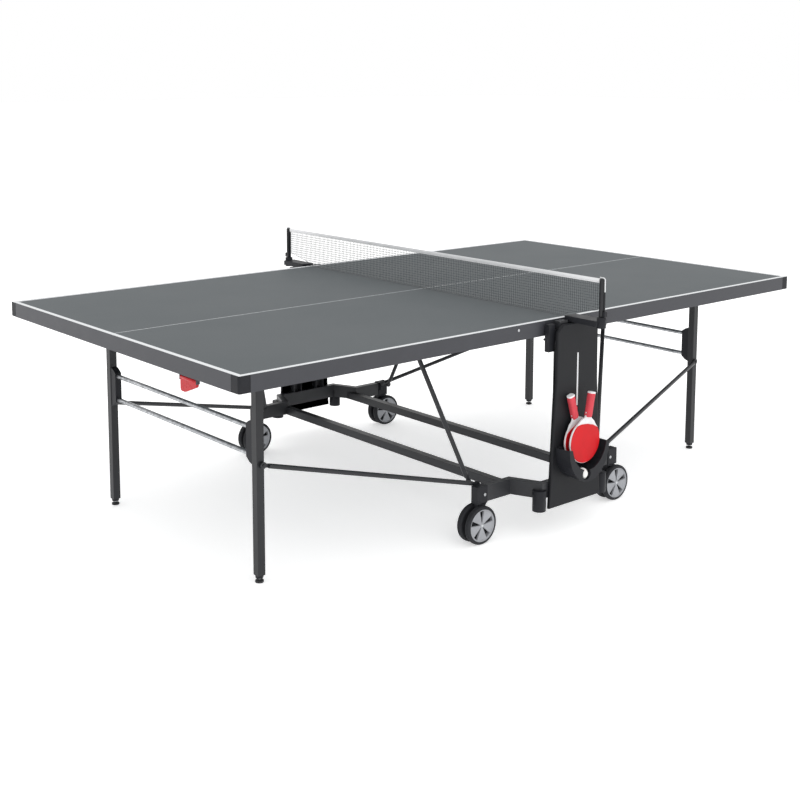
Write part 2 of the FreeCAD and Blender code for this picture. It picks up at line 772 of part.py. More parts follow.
def leg_struts(side, left):
    """The pair of struts that keep the legs upright as the half folds."""
    thick = number_of(strut_eye_thick)
    low = Vector(*[number_of(v) for v in (leg_strut_foot_x, leg_strut_foot_y, strut_foot_height)])
    high = Vector(*[number_of(v) for v in (leg_strut_top_x, leg_strut_top_y, leg_strut_top_height)])
    shape = strut(low, high, number_of(strut_radius), thick)
    shape = drilled(shape, high, number_of(strut_pin_radius + pin_clearance), thick)
    node(side + "_leg_struts", both_sides(solid("leg_strut", shape)), left=left)


def release_lever(side, left):
    """The pull lever under the end rail: a barrel on its pin and a broad paddle, cut away outside."""
    start = half_width - lever_from_side - lever_width / 2
    end = start + lever_width
    low = lever_pivot_z - lever_length
    barrel = rod("lever_barrel", lever_barrel, (lever_pivot_x, start, lever_pivot_z), lever_width, "y")
    outline = [(start, lever_pivot_z), (start, low), (start + lever_width * lever_nose, low),
               (end, low + lever_length * lever_cut), (end, lever_pivot_z)]
    paddle = profile("paddle", "YZ_Plane", [outline], lever_thick, lever_pivot_x - lever_thick / 2)
    lowest = number_of(low) + number_of(lever_length * lever_cut) + 0.01
    round_edges(paddle, lever_round, lambda edge: runs_along(edge, 0) and edge.CenterOfMass.z < lowest)
    bore = rod("lever_bore", lever_pin_radius + pin_clearance, (lever_pivot_x, start - 1, lever_pivot_z),
               lever_width + 2, "y")
    node(side + "_release_lever", cut("lever", fuse("lever_blank", barrel, paddle), bore), left=left)


def latch_pawl(side, left):
    """The pawl outside the far rail: hub, hanging finger and the shaft through the rail."""
    height = table_height - latch_drop
    face = half_width + latch_gap
    hub = rod("pawl_hub", latch_hub_radius, (latch_x, face, height), latch_plate, "y")
    finger = block("finger", (latch_x - latch_shaft_radius, latch_x + latch_shaft_radius),
                   (face, face + latch_plate), (height - latch_arm, height))
    tooth = block("tooth", (latch_x, latch_x + latch_hub_radius), (face, face + latch_plate),
                  (height - latch_arm, height - latch_arm + latch_tooth))
    shaft_start = half_width - rail_width - latch_inset
    shaft = rod("pawl_shaft", latch_shaft_radius, (latch_x, shaft_start, height), face - shaft_start, "y")
    crank = block("crank", (latch_x - latch_shaft_radius, latch_x + latch_shaft_radius),
                  (shaft_start, shaft_start + latch_plate), (height - latch_tooth, height + latch_crank))
    node(side + "_latch_pawl", fuse("pawl", hub, finger, tooth, shaft, crank), left=left)


def release_cable(side, left):
    """The sheathed cable that joins the lever to the latch, clipped below the board."""
    radius = number_of(cable_radius)
    lever_y = number_of(half_width - lever_from_side)
    lever_x = number_of(half_length - rail_width) - radius - 1
    run_y = number_of(stiffener_out) + 40
    level = number_of(board_bottom - stiffener_depth - cable_gap) - radius
    end_x = number_of(latch_x)
    end_y = number_of(half_width - rail_width - latch_inset) - 3 * radius
    corners = [Vector(lever_x, lever_y, level), Vector(lever_x - 60, lever_y, level),
               Vector(lever_x - 160, run_y, level), Vector(end_x + 130, run_y, level),
               Vector(end_x + 50, end_y, level), Vector(end_x + 12, end_y, level)]
    path = rounded_path(corners, number_of(cable_bend))
    ring = Part.Wire(Part.Circle(corners[0], Vector(-1, 0, 0), radius).toShape())
    shape = path.makePipeShell([ring], True, True)
    node(side + "_release_cable", solid("cable", shape), left=left)


def rounded_path(corners, radius):
    """Straight runs joined by tangent arcs."""
    edges = []
    start = corners[0]
    for index in range(1, len(corners) - 1):
        before = Vector(corners[index] - corners[index - 1]).normalize()
        after = Vector(corners[index + 1] - corners[index]).normalize()
        turn = before.getAngle(after)
        setback = radius * math.tan(turn / 2)
        first = corners[index] - before * setback
        last = corners[index] + after * setback
        inward = Vector(after - before).normalize()
        depth = radius / math.cos(turn / 2) - radius
        edges.append(Part.LineSegment(start, first).toShape())
        edges.append(Part.Arc(first, corners[index] + inward * depth, last).toShape())
        start = last
    edges.append(Part.LineSegment(start, corners[-1]).toShape())
    return Part.Wire(edges)


for side, is_left in (("right", False), ("left", True)):
    for build in (board, side_rails, cross_rails, stiffeners, corner_caps, carriage, legs, leg_crossbars,
                  leg_fittings, feet, support_struts, leg_struts, release_lever, latch_pawl, release_cable):
        build(side, is_left)


# ---------------------------------------------------------------- trolley

def bar_outline(offset):
    """The plan of a side bar, drawn out from its centre line by an offset."""
    run = bar_kink_out - bar_kink_in
    rise = bar_bulge_y - bar_y
    shift = (root(run * run + rise * rise) - run) / rise * offset
    right = [(bar_half, bar_y + offset), (bar_kink_out + shift, bar_y + offset),
             (bar_kink_in + shift, bar_bulge_y + offset)]
    right_inner = [(bar_kink_in - shift, bar_bulge_y - offset), (bar_kink_out - shift, bar_y - offset),
                   (bar_half, bar_y - offset)]
    left = [(-across, along) for across, along in reversed(right)]
    left_inner = [(-across, along) for across, along in reversed(right_inner)]
    return right + left + left_inner + right_inner


def stem_holes(low, length):
    """The holes that the four caster stems turn in."""
    return all_corners(rod("stem_hole", stem_radius + pin_clearance, (stem_x, bar_y, low), length))


def side_frames():
    """The two bent box tubes along the trolley's sides."""
    tube = profile("bar", "XY_Plane", [bar_outline(bar_thick / 2)], bar_tall, bar_bottom)
    hollow = profile("bar_hollow", "XY_Plane", [bar_outline(bar_thick / 2 - bar_wall)],
                     bar_tall - 2 * bar_wall, bar_bottom + bar_wall)
    pair = both_sides(cut("bar_tube", tube, hollow))
    node("side_frames", cut("bars_drilled", pair, stem_holes(bar_bottom - 5, bar_wall + 8)))


def crossbeams():
    """The two square tubes across the trolley, coped to the bent side bars."""
    across = (beam_middle - beam_side / 2, beam_middle + beam_side / 2)
    height = (bar_bottom, bar_bottom + beam_side)
    tube = profile("beam", "XZ_Plane", [rectangle(across, height), rectangle(across, height, beam_wall)],
                   bar_bulge_y * 2, -bar_bulge_y)
    run = bar_kink_out - bar_kink_in
    rise = bar_bulge_y - bar_y
    half = bar_thick / 2
    shift = (root(run * run + rise * rise) - run) / rise * half
    cope = profile("cope", "XY_Plane", [[(bar_half, bar_y - half), (bar_half, bar_bulge_y + 50),
                   (bar_kink_in - shift, bar_bulge_y + 50), (bar_kink_in - shift, bar_bulge_y - half),
                   (bar_kink_out - shift, bar_y - half)]], bar_tall, bar_bottom)
    beam = cut("beam_coped", tube, both_sides(cope))
    node("crossbeams", beam, mirror(beam, (1, 0, 0)))


def uprights():
    """Four open channels that guide the carriages, and the cross ties welded behind them."""
    inner = carriage_width / 2 + slide_clearance
    outer = inner + guide_wall
    left_in, right_in = hinge_from_middle - inner, hinge_from_middle + inner
    left_out, right_out = hinge_from_middle - outer, hinge_from_middle + outer
    back = guide_back + guide_wall
    channel = profile("channel", "XY_Plane", [[(left_out, guide_face), (left_in, guide_face),
                      (left_in, guide_back), (right_in, guide_back), (right_in, guide_face),
                      (right_out, guide_face), (right_out, back), (left_out, back)]],
                      guide_top - bar_top, bar_top)
    ties = []
    for low in (tie_low, tie_high):
        along, up = (back, back + tie_depth), (low, low + tie_tall)
        tie = profile("tie", "YZ_Plane", [rectangle(along, up), rectangle(along, up, rail_wall)],
                      tie_half * 2, -tie_half)
        ties.append(both_sides(tie))
    node("uprights", all_corners(channel), *ties)


def side_panel(name, near):
    """A moulded cover over the uprights: a shallow tray with drawn-in sides and cut corners."""
    def tray_outline(wall):
        bottom, top = panel_bottom + wall, panel_top - wall
        half = [(panel_half_bottom - wall, bottom), (panel_half_waist - wall, panel_waist),
                (panel_half_top - wall, top - panel_corner), (panel_half_top - panel_corner - wall, top)]
        return half + [(-across, up) for across, up in reversed(half)]
    face = profile("panel_face", "XZ_Plane", [tray_outline(0)], panel_depth, panel_back)
    doc.recompute()
    front = -number_of(panel_face)
    round_edges(face, panel_round, lambda edge: abs(edge.CenterOfMass.y - front) < 0.01)
    hollow = profile("panel_hollow", "XZ_Plane", [tray_outline(panel_wall)], panel_depth - panel_wall,
                     panel_back)
    tray = cut("panel_tray", face, hollow)
    node(name, tray if near else mirror(tray))


def caster_brackets():
    """Moulded boots on the bar ends: each holds a caster stem and carries the struts' bolt ear."""
    half = bar_thick / 2 + boot_wall
    along = (bar_y - half, bar_y + half)
    shell = block("boot", (bar_half - boot_length, bar_half + boot_wall), along,
                  (bar_bottom - boot_wall, bar_top + boot_wall))
    bar_space = block("bar_space", (bar_half - boot_length - 1, bar_half),
                      (bar_y - bar_thick / 2, bar_y + bar_thick / 2), (bar_bottom, bar_top))
    ear_face = leg_strut_foot_y + strut_eye_thick / 2 + ear_gap
    ear = block("ear", (support_foot_x - ear_half, support_foot_x + ear_half), (ear_face, bar_y - half),
                (strut_foot_height - 2 * ear_half, strut_foot_height))
    ear_top = rod("ear_top", ear_round, (support_foot_x, ear_face, strut_foot_height),
                  bar_y - half - ear_face, "y")
    boot = cut("boot_hollow", fuse("boot_and_ear", shell, ear, ear_top), bar_space)
    node("caster_brackets", cut("boots_drilled", all_corners(boot),
                                stem_holes(bar_bottom - boot_wall - 1, boot_wall + 2)))


def corner_guards():
    """Round bumpers pushed over the side bars at their outer kinks."""
    post = rod("guard", guard_radius, (guard_from_middle, bar_bulge_y, guard_bottom),
               guard_top - guard_bottom)
    bar_space = profile("guard_bar_space", "XY_Plane", [bar_outline(bar_thick / 2)], bar_tall, bar_bottom)
    node("corner_guards", all_corners(cut("guard_slotted", post, bar_space)))


def casters():
    """Four swivel casters: a fork on a stem, and a pair of wheels on one axle through it."""
    for side, sign_x in (("right", 1), ("left", -1)):
        for row, sign_y in (("far", 1), ("near", -1)):
            middle = bar_y * sign_y
            stem = stem_x * sign_x
            hub = wheel_x * sign_x
            fork_half = wheel_gap / 2 - slide_clearance
            plate_low = 2 * wheel_radius + 0.6
            plate_high = bar_bottom - boot_wall - swivel_gap
            outline = [(hub - fork_foot * sign_x, wheel_radius - wheel_hub_radius),
                       (hub + fork_foot * sign_x, wheel_radius - wheel_hub_radius),
                       (hub + fork_foot * sign_x, wheel_radius + wheel_hub_radius),
                       (stem + fork_neck * sign_x, plate_high), (stem - fork_neck * sign_x, plate_high),
                       (hub - fork_heel * sign_x, wheel_radius + 2 * wheel_hub_radius)]
            web = profile("web", "XZ_Plane", [outline], fork_half * 2, -(middle + fork_half))
            plate = rod("swivel_plate", swivel_radius, (stem, middle, plate_low), plate_high - plate_low)
            pin = rod("stem", stem_radius, (stem, middle, plate_low), bar_top - boot_wall - plate_low)
            bore = rod("axle_bore", axle_radius + pin_clearance, (hub, middle - wheel_gap, wheel_radius),
                       2 * wheel_gap, "y")
            node("caster_fork_%s_%s" % (side, row), cut("fork", fuse("fork_blank", web, plate, pin), bore))
            wheel = caster_wheel("wheel", wheel_gap / 2)
            turned_wheel = mirror(wheel)
            axle = rod("axle", axle_radius, (0, -(wheel_gap / 2 + wheel_width - 3), 0),
                       wheel_gap + 2 * wheel_width - 6, "y")
            pair = fuse("wheel_pair", wheel, turned_wheel, axle)
            bind(pair, "Placement.Base.x", hub)
            bind(pair, "Placement.Base.y", middle)
            bind(pair, "Placement.Base.z", wheel_radius)
            node("caster_wheels_%s_%s" % (side, row), pair)


def caster_wheel(name, start):
    """One wheel: a turned tread, rim and hub, with wedge windows cut in its web."""
    body = doc.addObject("PartDesign::Body", name)
    sketch = new_sketch(body, "YZ_Plane")
    inner, outer = start, start + wheel_width
    web_high = outer - wheel_dish
    web_low = web_high - wheel_web
    tread, rim, hub = wheel_radius, wheel_rim_radius, wheel_hub_radius
    draw_outline(sketch, [(inner, 0), (inner, hub), (web_low, hub), (web_low, rim), (inner, rim),
                          (inner, tread - 5), (inner + 5, tread), (outer - 6, tread), (outer, tread - 6),
                          (outer - 1, rim), (web_high, rim - 2), (web_high, hub + 2),
                          (outer - 2, hub), (outer - 2, 0)])
    turning = body.newObject("PartDesign::Revolution", name + "_turned")
    turning.Profile = sketch
    turning.ReferenceAxis = (sketch, ["H_Axis"])
    turning.Angle = 360
    doc.recompute()
    window = new_sketch(body, "XZ_Plane")
    low, high = wheel_hub_radius + 4, wheel_rim_radius - 6
    narrow, broad = low * window_spread_low, high * window_spread_high
    draw_outline(window, [(-narrow, low), (narrow, low), (broad, high), (-broad, high)])
    pocket = body.newObject("PartDesign::Pocket", name + "_window")
    pocket.Profile = window
    pocket.Type = "ThroughAll"
    pocket.Midplane = True
    doc.recompute()
    pattern = body.newObject("PartDesign::PolarPattern", name + "_windows")
    pattern.Originals = [pocket]
    y_axis = [feature for feature in body.Origin.OriginFeatures if feature.Role == "Y_Axis"]
    pattern.Axis = (y_axis[0], [""])
    pattern.Angle = 360
    pattern.Occurrences = wheel_windows
    body.Tip = pattern
    doc.recompute()
    if pattern.Shape.Volume > 0.99 * turning.Shape.Volume:
        raise RuntimeError("the wheel's windows cut nothing")
    return body


def latch_housings():
    """Covers beside the uprights, each with the striker pin that the pawl holds."""
    start, end = tie_half + housing_start, tie_half + housing_start + housing_length
    front, back = guide_face + 2 * slide_clearance, guide_back - housing_rim
    low, high = rail_bottom - housing_drop, board_bottom - housing_rim
    shell = block("housing", (start, end), (front, back), (low, high))
    space = block("housing_space", (start + panel_wall, end - panel_wall),
                  (front + housing_rim, back - panel_wall), (low - 1, high - panel_wall))
    arm_start = hinge_from_middle + carriage_width / 2 + slide_clearance + guide_wall
    arm = block("arm", (arm_start, start + 1), (guide_back - 3 * housing_rim, back),
                (rail_bottom - 4 * housing_rim, rail_bottom + 4 * housing_rim))
    pin_height = table_height - latch_drop - latch_arm + latch_tooth + striker_radius + pin_end
    pin = rod("striker", striker_radius, (striker_x, half_width + latch_gap, pin_height),
              front - half_width + pin_end, "y")
    piece = fuse("housing_done", cut("housing_shell", shell, space), arm, pin)
    other = group("housing_turned", piece)
    other.Placement = half_turn
    node("latch_housings", piece, other)


# ---------------------------------------------------------------- net

def net():
    """Brackets, posts, mesh, top tape, cords and their adjusters."""
    arm_low = panel_top + arm_clearance
    arm = block("net_arm", (-net_arm_half, net_arm_half), (half_width + side_clearance, post_y),
                (arm_low, net_arm_top))
    socket = rod("post_socket", post_radius + socket_wall, (0, post_y, post_foot),
                 net_arm_top + 2 * socket_wall - post_foot)
    leaf = block("net_leaf", (-net_arm_half, net_arm_half), (tie_back - guide_wall, tie_back),
                 (tie_high, arm_low + 1))
    bore = rod("post_bore", post_radius, (0, post_y, post_foot), net_height)
    node("net_brackets", both_sides(cut("bracket", fuse("bracket_blank", arm, socket, leaf), bore)))
    top = table_height + net_height
    post = profile("post", "XY_Plane", [], top + post_crown - post_foot, post_foot,
                   [((0, post_y), post_radius)])
    crown = number_of(top + post_crown)
    round_edges(post, post_radius / 2, lambda edge: abs(edge.CenterOfMass.z - crown) < 0.01)
    node("net_posts", both_sides(post))
    edge = post_y - post_radius
    lifted = net_bottom + net_side_lift
    mesh_top = top - net_tape
    side = half_width + net_side_clearance
    flat = side - net_side_slope
    mesh = profile("mesh", "YZ_Plane", [[(-edge, net_bottom + net_end_lift), (-side, lifted),
                   (-flat, net_bottom), (flat, net_bottom), (side, lifted),
                   (edge, net_bottom + net_end_lift), (edge, mesh_top), (-edge, mesh_top)]],
                   net_thick, -(net_thick / 2))
    node("net_mesh", mesh)
    tape = block("tape", (-(net_tape_thick / 2), net_tape_thick / 2), (-edge, edge), (mesh_top, top))
    node("net_tape", tape)
    node("net_cords", both_sides(solid("net_cord", net_cord_shape(top))))
    clip = block("clip", (-(adjuster_half * 0.8), adjuster_half * 0.8),
                 (post_y + post_radius, post_y + post_radius + adjuster_half),
                 (adjuster_height - adjuster_half, adjuster_height + adjuster_half))
    node("net_adjusters", both_sides(clip))


def net_cord_shape(top):
    """The cord from the tape's end over the post's top and down to the adjuster."""
    radius = number_of(cord_radius)
    post = number_of(post_y)
    reach = number_of(post_radius + cord_gap) + radius
    crown = number_of(top + post_crown + cord_gap) + radius
    start = Vector(0, post - number_of(post_radius), crown)
    end = Vector(0, post + reach, number_of(adjuster_height + adjuster_half))
    path = rounded_path([start, Vector(0, post + reach, crown), end], number_of(cord_bend))
    ring = Part.Wire(Part.Circle(start, Vector(0, 1, 0), radius).toShape())
    return path.makePipeShell([ring], True, True)


# ---------------------------------------------------------------- bat holders, bats and ball

def holder_outline(radius):
    """A cradle seen from the front: a half round with straight sides up to its top."""
    steps = 12
    points = [(holder_shift + radius, holder_middle)]
    for index in range(1, steps):
        turn = math.pi * index / steps
        drop = -math.sin(turn) * (holder_middle - holder_bottom) / holder_radius
        points.append((holder_shift + radius * math.cos(turn), holder_middle + radius * drop))
    points.append((holder_shift - radius, holder_middle))
    return points


def bat_holder(name, near):
    """A moulded cradle for two bats, with a socket for a ball below them."""
    front = panel_face + holder_depth
    shell = profile("holder_shell", "XZ_Plane", [holder_outline(holder_radius)], holder_depth, panel_face)
    tray_radius = holder_radius - holder_wall
    raised = ball_radius + holder_wall
    tray = profile("holder_tray", "XZ_Plane", [[(across, up + raised) for across, up in
                   holder_outline(tray_radius)]], holder_depth - 2 * holder_wall, panel_face + holder_wall)
    mouth = profile("holder_mouth", "XZ_Plane", [[(across, up + raised) for across, up in
                    holder_outline(holder_radius - holder_lip)]], holder_wall * 3, front - 2 * holder_wall)
    bore_radius = ball_radius + socket_clearance
    lean = number_of(90 - socket_rise)
    socket = rod("ball_socket", bore_radius, (ball_shift, -ball_y, ball_height), holder_depth)
    socket.Placement = Placement(Vector(), Rotation(Vector(1, 0, 0), lean))
    bind(socket, "Placement.Rotation.Angle", 90 - socket_rise)
    seat = ball("ball_seat", bore_radius, (ball_shift, -ball_y, ball_height))
    holder = cut("holder", shell, tray, mouth, socket, seat)
    node(name, holder if near else mirror(holder))


def bat(name, tilt, along):
    """A bat, blade down: a round blade, a waisted neck and a straight handle."""
    blade = rod("blade", bat_radius, (0, -(bat_blade_thick / 2), 0), bat_blade_thick, "y")
    neck = profile("neck", "XZ_Plane", [[(-(bat_radius * 0.55), bat_radius * 0.75),
                   (bat_radius * 0.55, bat_radius * 0.75), (bat_handle_width / 2, bat_radius + 14),
                   (-(bat_handle_width / 2), bat_radius + 14)]], bat_blade_thick, -(bat_blade_thick / 2))
    handle = block("handle", (-(bat_handle_width / 2), bat_handle_width / 2),
                   (-(bat_handle_thick / 2), bat_handle_thick / 2),
                   (bat_radius + 6, bat_radius + bat_handle_length))
    whole = fuse("bat", blade, neck, handle)
    whole.Placement = Placement(Vector(), Rotation(Vector(0, 1, 0), number_of(tilt)))
    bind(whole, "Placement.Rotation.Angle", tilt)
    bind(whole, "Placement.Base.x", holder_shift)
    bind(whole, "Placement.Base.y", -along)
    bind(whole, "Placement.Base.z", bat_height)
    node(name, whole)


def trolley_fasteners():
    """One button-head bolt through each boot, halfway up the bar."""
    face = bar_y + bar_thick / 2 + boot_wall
    head = rod("bolt", bolt_radius, (stem_x - bolt_inset, face, bar_bottom + bar_tall / 2), bolt_rise, "y")
    node("trolley_fasteners", all_corners(head))


side_frames()
crossbeams()
uprights()
side_panel("side_panel_near", True)
side_panel("side_panel_far", False)
caster_brackets()
corner_guards()
casters()
latch_housings()
net()
bat_holder("bat_holder_near", True)
bat_holder("bat_holder_far", False)
back_plane = panel_face + holder_wall + bat_handle_thick / 2 + 0.6
bat("bat_back", bat_back_tilt, back_plane)
bat("bat_front", bat_front_tilt, back_plane + bat_spacing)
node("ball", ball("ping_pong_ball", ball_radius, (ball_shift, -ball_y, ball_height)))
trolley_fasteners()


# ---------------------------------------------------------------- check and write

doc.recompute()
for item in doc.Objects:
    if "Invalid" in item.State or "Error" in item.State:
        raise RuntimeError("%s failed: %s" % (item.Name, item.State))
os.makedirs("parts", exist_ok=True)
for item in nodes:
    shape = item.Shape
    if shape.isNull() or not shape.isValid() or not shape.Solids:
        raise RuntimeError("%s has no valid solid" % item.Label)
    shape.exportStep(os.path.join("parts", item.Label + ".step"))
print(len(nodes), "sub-parts written")
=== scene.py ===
"""Folding table tennis table on its trolley, in metres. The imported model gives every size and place."""

import math

import bmesh
import bpy
import numpy as np
from mathutils import Matrix, Vector


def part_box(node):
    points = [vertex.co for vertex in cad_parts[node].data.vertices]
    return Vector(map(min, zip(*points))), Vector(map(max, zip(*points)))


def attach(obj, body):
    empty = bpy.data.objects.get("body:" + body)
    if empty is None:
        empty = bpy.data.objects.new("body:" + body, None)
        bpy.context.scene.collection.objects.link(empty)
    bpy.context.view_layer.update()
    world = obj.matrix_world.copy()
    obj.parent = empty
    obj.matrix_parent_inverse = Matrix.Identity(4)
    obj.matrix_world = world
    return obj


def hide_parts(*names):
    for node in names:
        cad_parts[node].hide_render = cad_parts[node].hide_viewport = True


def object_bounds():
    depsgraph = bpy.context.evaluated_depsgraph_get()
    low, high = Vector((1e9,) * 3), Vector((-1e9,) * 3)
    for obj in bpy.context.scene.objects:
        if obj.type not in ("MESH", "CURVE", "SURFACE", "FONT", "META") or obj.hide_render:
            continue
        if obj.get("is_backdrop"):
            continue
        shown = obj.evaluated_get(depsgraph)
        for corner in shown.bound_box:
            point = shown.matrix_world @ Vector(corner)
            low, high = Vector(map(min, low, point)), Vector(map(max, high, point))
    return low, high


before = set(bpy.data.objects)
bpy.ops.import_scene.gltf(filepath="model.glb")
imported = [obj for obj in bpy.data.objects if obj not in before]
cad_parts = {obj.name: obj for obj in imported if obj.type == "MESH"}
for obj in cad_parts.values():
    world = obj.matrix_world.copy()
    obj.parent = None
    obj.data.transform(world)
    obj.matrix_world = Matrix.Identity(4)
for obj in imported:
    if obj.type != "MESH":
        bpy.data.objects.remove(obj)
cad_low, cad_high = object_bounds()


# ---------------------------------------------------------------- playing boards
# Each half is a 5 mm sheet of melamine laminate, pressed and then sprayed slate grey with a
# matt, slightly gritty lacquer. The white lines are painted over it: 20 mm along the table's
# edges, measured from the outside of the frame, and 3 mm down the middle.

def linear(code, times=1.0):
    """An sRGB hex colour as linear light, made darker or lighter by a factor."""
    parts = [int(code[at:at + 2], 16) / 255 for at in (1, 3, 5)]
    parts = [part / 12.92 if part <= 0.04045 else ((part + 0.055) / 1.055) ** 2.4 for part in parts]
    return [min(1.0, part * times) for part in parts] + [1.0]


def add(tree, kind, inputs, **settings):
    """Adds one shader node. An input that is a socket is linked, and any other is set."""
    made = tree.nodes.new("ShaderNode" + kind)
    for name, value in settings.items():
        setattr(made, name, value)
    for name, value in inputs.items():
        if isinstance(value, bpy.types.NodeSocket):
            tree.links.new(value, made.inputs[name])
        else:
            made.inputs[name].default_value = value
    return made


def new_finish(name):
    """An empty material, its tree, and the piece's own coordinates in metres."""
    made = bpy.data.materials.new(name)
    made.use_nodes = True
    made.node_tree.nodes.clear()
    return made, made.node_tree, add(made.node_tree, "TexCoord", {})


def round_off(piece, radius, segments=2):
    """Rounds a piece's sharp edges."""
    soft = piece.modifiers.new("soft edges", "BEVEL")
    soft.width = radius
    soft.segments = segments
    soft.limit_method = "ANGLE"
    soft.angle_limit = math.radians(35)
    soft.harden_normals = True


def dress(finish, edge, *names):
    """Gives CAD nodes their finish, and rounds their edges by a small radius."""
    for name in names:
        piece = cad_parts[name]
        for slot in piece.material_slots:
            slot.material = finish
        joined = piece.modifiers.new("joined", "WELD")
        joined.merge_threshold = 0.00001
        flat = piece.modifiers.new("flat", "DECIMATE")
        flat.decimate_type = "DISSOLVE"
        flat.angle_limit = math.radians(0.5)
        round_off(piece, edge)


def both_halves(*parts):
    """The names of a part on the right and on the left half of the table."""
    return [side + part for part in parts for side in ("right_", "left_")]


def four_corners(part):
    """The names of a part that stands at each of the table's four corners."""
    return [part + "_%s_%s" % (side, row) for side in ("right", "left") for row in ("far", "near")]


rim = 0.003
edge_line = 0.020
middle_line = 0.003
board_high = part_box("right_board")[1]

laminate, tree, where = new_finish("sprayed melamine laminate")
axes = add(tree, "SeparateXYZ", {"Vector": where.outputs["Object"]})
facing = add(tree, "SeparateXYZ", {"Vector": where.outputs["Normal"]})
along = add(tree, "Math", {0: axes.outputs["X"]}, operation="ABSOLUTE")
across = add(tree, "Math", {0: axes.outputs["Y"]}, operation="ABSOLUTE")
at_end = add(tree, "Math", {0: along.outputs[0], 1: board_high.x + rim - edge_line},
             operation="GREATER_THAN")
at_side = add(tree, "Math", {0: across.outputs[0], 1: board_high.y + rim - edge_line},
              operation="GREATER_THAN")
at_middle = add(tree, "Math", {0: across.outputs[0], 1: middle_line / 2}, operation="LESS_THAN")
at_edge = add(tree, "Math", {0: at_end.outputs[0], 1: at_side.outputs[0]}, operation="MAXIMUM")
on_line = add(tree, "Math", {0: at_edge.outputs[0], 1: at_middle.outputs[0]}, operation="MAXIMUM")
on_top = add(tree, "Math", {0: facing.outputs["Z"], 1: 0.5}, operation="GREATER_THAN")
paint = add(tree, "Math", {0: on_line.outputs[0], 1: on_top.outputs[0]}, operation="MULTIPLY")
# The lacquer's grit is about 0.2 mm, drawn 1.2 mm wide so that it shows.
grit = add(tree, "TexNoise", {"Vector": where.outputs["Object"], "Scale": 1 / 0.0012, "Detail": 2.0})
# Spraying leaves broad clouds about 0.3 m across, a little lighter or darker.
cloud = add(tree, "TexNoise", {"Vector": where.outputs["Object"], "Scale": 1 / 0.3, "Detail": 3.0})
slate = add(tree, "Mix", {0: cloud.outputs["Fac"], 6: linear("#434A4D"), 7: linear("#4A5154")},
            data_type="RGBA")
flecked = add(tree, "Mix", {0: grit.outputs["Fac"], 6: slate.outputs[2], 7: linear("#5A6164")},
              data_type="RGBA")
fleck_share = add(tree, "MapRange", {"Value": grit.outputs["Fac"], "From Min": 0.5, "From Max": 0.75,
                                     "To Min": 0.0, "To Max": 0.5})
tree.links.new(fleck_share.outputs[0], flecked.inputs[0])
surface = add(tree, "Mix", {0: paint.outputs[0], 6: flecked.outputs[2], 7: linear("#E2E4E6")},
              data_type="RGBA")
sheen_of = add(tree, "MapRange", {"Value": cloud.outputs["Fac"], "To Min": 0.50, "To Max": 0.62})
tooth = add(tree, "Bump", {"Height": grit.outputs["Fac"], "Strength": 0.5, "Distance": 0.00006})
# The studio is white all round. The boards, coats, moulded plastics, bat rubber and red ABS get a
# Specular IOR Level under the physical 0.5, so that what they mirror doesn't make them too pale.
shader = add(tree, "BsdfPrincipled", {"Base Color": surface.outputs[2], "Roughness": sheen_of.outputs[0],
                                      "Normal": tooth.outputs["Normal"], "IOR": 1.5,
                                      "Specular IOR Level": 0.4})
add(tree, "OutputMaterial", {"Surface": shader.outputs["BSDF"]})
dress(laminate, 0.0004, *both_halves("board"))


# ---------------------------------------------------------------- frames round the boards
# Rails and stiffeners are roll-formed steel tubes, welded and powder coated graphite. A rim
# on the outer rails stands up round the board. Moulded protectors close the four corners.

def powder_coat(name, code, roughness):
    """Polyester powder baked on steel. It flows into an orange peel about 1.5 mm across, which
    breaks up the highlights, and its film is thicker and darker here and there."""
    made, tree, where = new_finish(name)
    peel = add(tree, "TexNoise", {"Vector": where.outputs["Object"], "Scale": 1 / 0.0015, "Detail": 2.0})
    film = add(tree, "TexNoise", {"Vector": where.outputs["Object"], "Scale": 1 / 0.06, "Detail": 3.0})
    tone = add(tree, "Mix", {0: film.outputs["Fac"], 6: linear(code, 0.85), 7: linear(code, 1.15)},
               data_type="RGBA")
    gloss = add(tree, "MapRange", {"Value": film.outputs["Fac"], "To Min": roughness - 0.08,
                                   "To Max": roughness + 0.08})
    dents = add(tree, "Bump", {"Height": peel.outputs["Fac"], "Strength": 0.35, "Distance": 0.0001})
    shader = add(tree, "BsdfPrincipled", {"Base Color": tone.outputs[2], "Roughness": gloss.outputs[0],
                                          "Normal": dents.outputs["Normal"], "IOR": 1.5,
                                          "Specular IOR Level": 0.35})
    add(tree, "OutputMaterial", {"Surface": shader.outputs["BSDF"]})
    return made


def moulded(name, code, grain, roughness):
    """Injection-moulded plastic. The mould is spark-eroded to a grain, given in metres, that
    dulls the surface, and the pigment flows unevenly."""
    made, tree, where = new_finish(name)
    cells = add(tree, "TexVoronoi", {"Vector": where.outputs["Object"], "Scale": 1 / grain},
                feature="SMOOTH_F1")
    flow = add(tree, "TexNoise", {"Vector": where.outputs["Object"], "Scale": 1 / 0.03, "Detail": 3.0})
    tone = add(tree, "Mix", {0: flow.outputs["Fac"], 6: linear(code, 0.82), 7: linear(code, 1.18)},
               data_type="RGBA")
    gloss = add(tree, "MapRange", {"Value": flow.outputs["Fac"], "To Min": roughness - 0.08,
                                   "To Max": roughness + 0.08})
    pits = add(tree, "Bump", {"Height": cells.outputs["Distance"], "Strength": 0.4, "Distance": grain / 12})
    shader = add(tree, "BsdfPrincipled", {"Base Color": tone.outputs[2], "Roughness": gloss.outputs[0],
                                          "Normal": pits.outputs["Normal"], "IOR": 1.5,
                                          "Specular IOR Level": 0.18})
    add(tree, "OutputMaterial", {"Surface": shader.outputs["BSDF"]})
    return made


